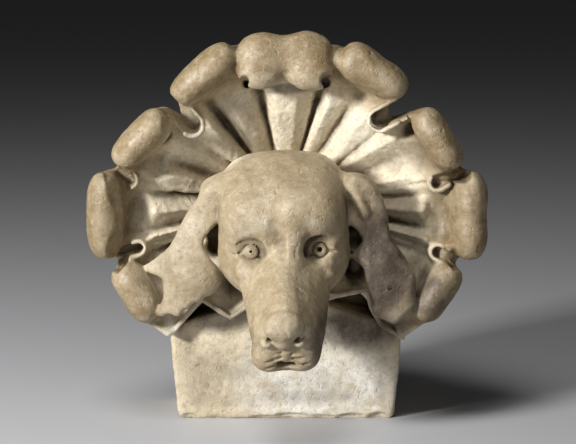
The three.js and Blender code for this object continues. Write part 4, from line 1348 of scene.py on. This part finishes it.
class SetStage(bpy.types.Operator):
    """Sets the floor, the lights and the camera"""

    bl_idname = "corbel.stage"
    bl_label = "Set the stage"

    def execute(self, context):
        deselect()
        bpy.ops.mesh.primitive_plane_add(size=FLOOR_SIZE, location=(0, 0, -BLOCK_UNDERSIDE * MM))
        floor = context.object
        floor.name = "floor"
        bpy.ops.object.transform_apply(location=True)
        floor.data.materials.append(plain("pale_floor", FLOOR_COLOUR, 0.6))
        for name, place, size, power in LIGHTS:
            bpy.ops.object.light_add(type="AREA", location=place)
            light = context.object
            light.name = name
            light.data.size = size
            light.data.energy = power
            away = Vector(place) - Vector(LIT_PLACE)
            light.rotation_euler = away.to_track_quat("Z", "Y").to_euler()
        world = bpy.data.worlds.new("studio")
        world.use_nodes = True
        back = world.node_tree.nodes["Background"]
        back.inputs["Color"].default_value = (*ROOM_COLOUR, 1)
        back.inputs["Strength"].default_value = ROOM_STRENGTH
        context.scene.world = world
        turn = (math.radians(90 - LOOK_DOWN), 0, 0)
        bpy.ops.object.camera_add(location=CAMERA_PLACE, rotation=turn)
        camera = context.object
        camera.data.sensor_width = SENSOR_WIDTH
        camera.data.lens = LENS_RATIO * SENSOR_WIDTH
        context.scene.camera = camera
        context.scene.view_settings.view_transform = "Standard"
        return {"FINISHED"}


# The stage, in metres

FLOOR_SIZE = 80
FLOOR_COLOUR = (0.46, 0.46, 0.47)
ROOM_COLOUR = (0.55, 0.56, 0.58)
ROOM_STRENGTH = 0.035

# The camera looks down at the ruff's rim from this far, a little to the right of and above its
# middle
LOOK_DOWN = 8.0
DISTANCE = 2.3
RIM_PLACE = -0.150
SHIFT_RIGHT, SHIFT_UP = 0.00235, 0.01176
SENSOR_WIDTH = 36
LENS_RATIO = 1956 / 576
SIN, COS = math.sin(math.radians(LOOK_DOWN)), math.cos(math.radians(LOOK_DOWN))
CAMERA_PLACE = (SHIFT_RIGHT, RIM_PLACE - DISTANCE * COS + SHIFT_UP * SIN,
                DISTANCE * SIN + SHIFT_UP * COS)

# Name, place, size and power of each lamp, all turned to the same place
LIT_PLACE = (0, -0.15, 0)
LIGHTS = [
    ("key", (-1.76, -1.78, 0.80), 0.4, 100),
    ("top", (-0.4, -1.2, 2.0), 0.8, 26),
    ("fill", (1.4, -2.4, 0.4), 1.2, 5),
]


class CorbelPanel(bpy.types.Panel):
    """Shows the sizes and colours and the steps that make the corbel."""

    bl_idname = "VIEW3D_PT_corbel"
    bl_label = "Hound's head corbel"
    bl_space_type = "VIEW_3D"
    bl_region_type = "UI"
    bl_category = "Corbel"

    def draw(self, context):
        for group in (context.scene.corbel_sizes, context.scene.corbel_colours):
            for name in group.__annotations__:
                self.layout.prop(group, name)
        for operator in OPERATORS:
            self.layout.operator(operator.bl_idname)


OPERATORS = (CarveCorbel, SetStage)
CLASSES = (CorbelColours, CorbelSizes, *OPERATORS, CorbelPanel)


def register():
    for item in CLASSES:
        bpy.utils.register_class(item)
    bpy.types.Scene.corbel_colours = bpy.props.PointerProperty(type=CorbelColours)
    bpy.types.Scene.corbel_sizes = bpy.props.PointerProperty(type=CorbelSizes)


def unregister():
    del bpy.types.Scene.corbel_sizes
    del bpy.types.Scene.corbel_colours
    for item in reversed(CLASSES):
        bpy.utils.unregister_class(item)


def main():
    register()
    bpy.ops.corbel.carve()
    bpy.ops.corbel.stage()


if __name__ == "__main__":
    main()
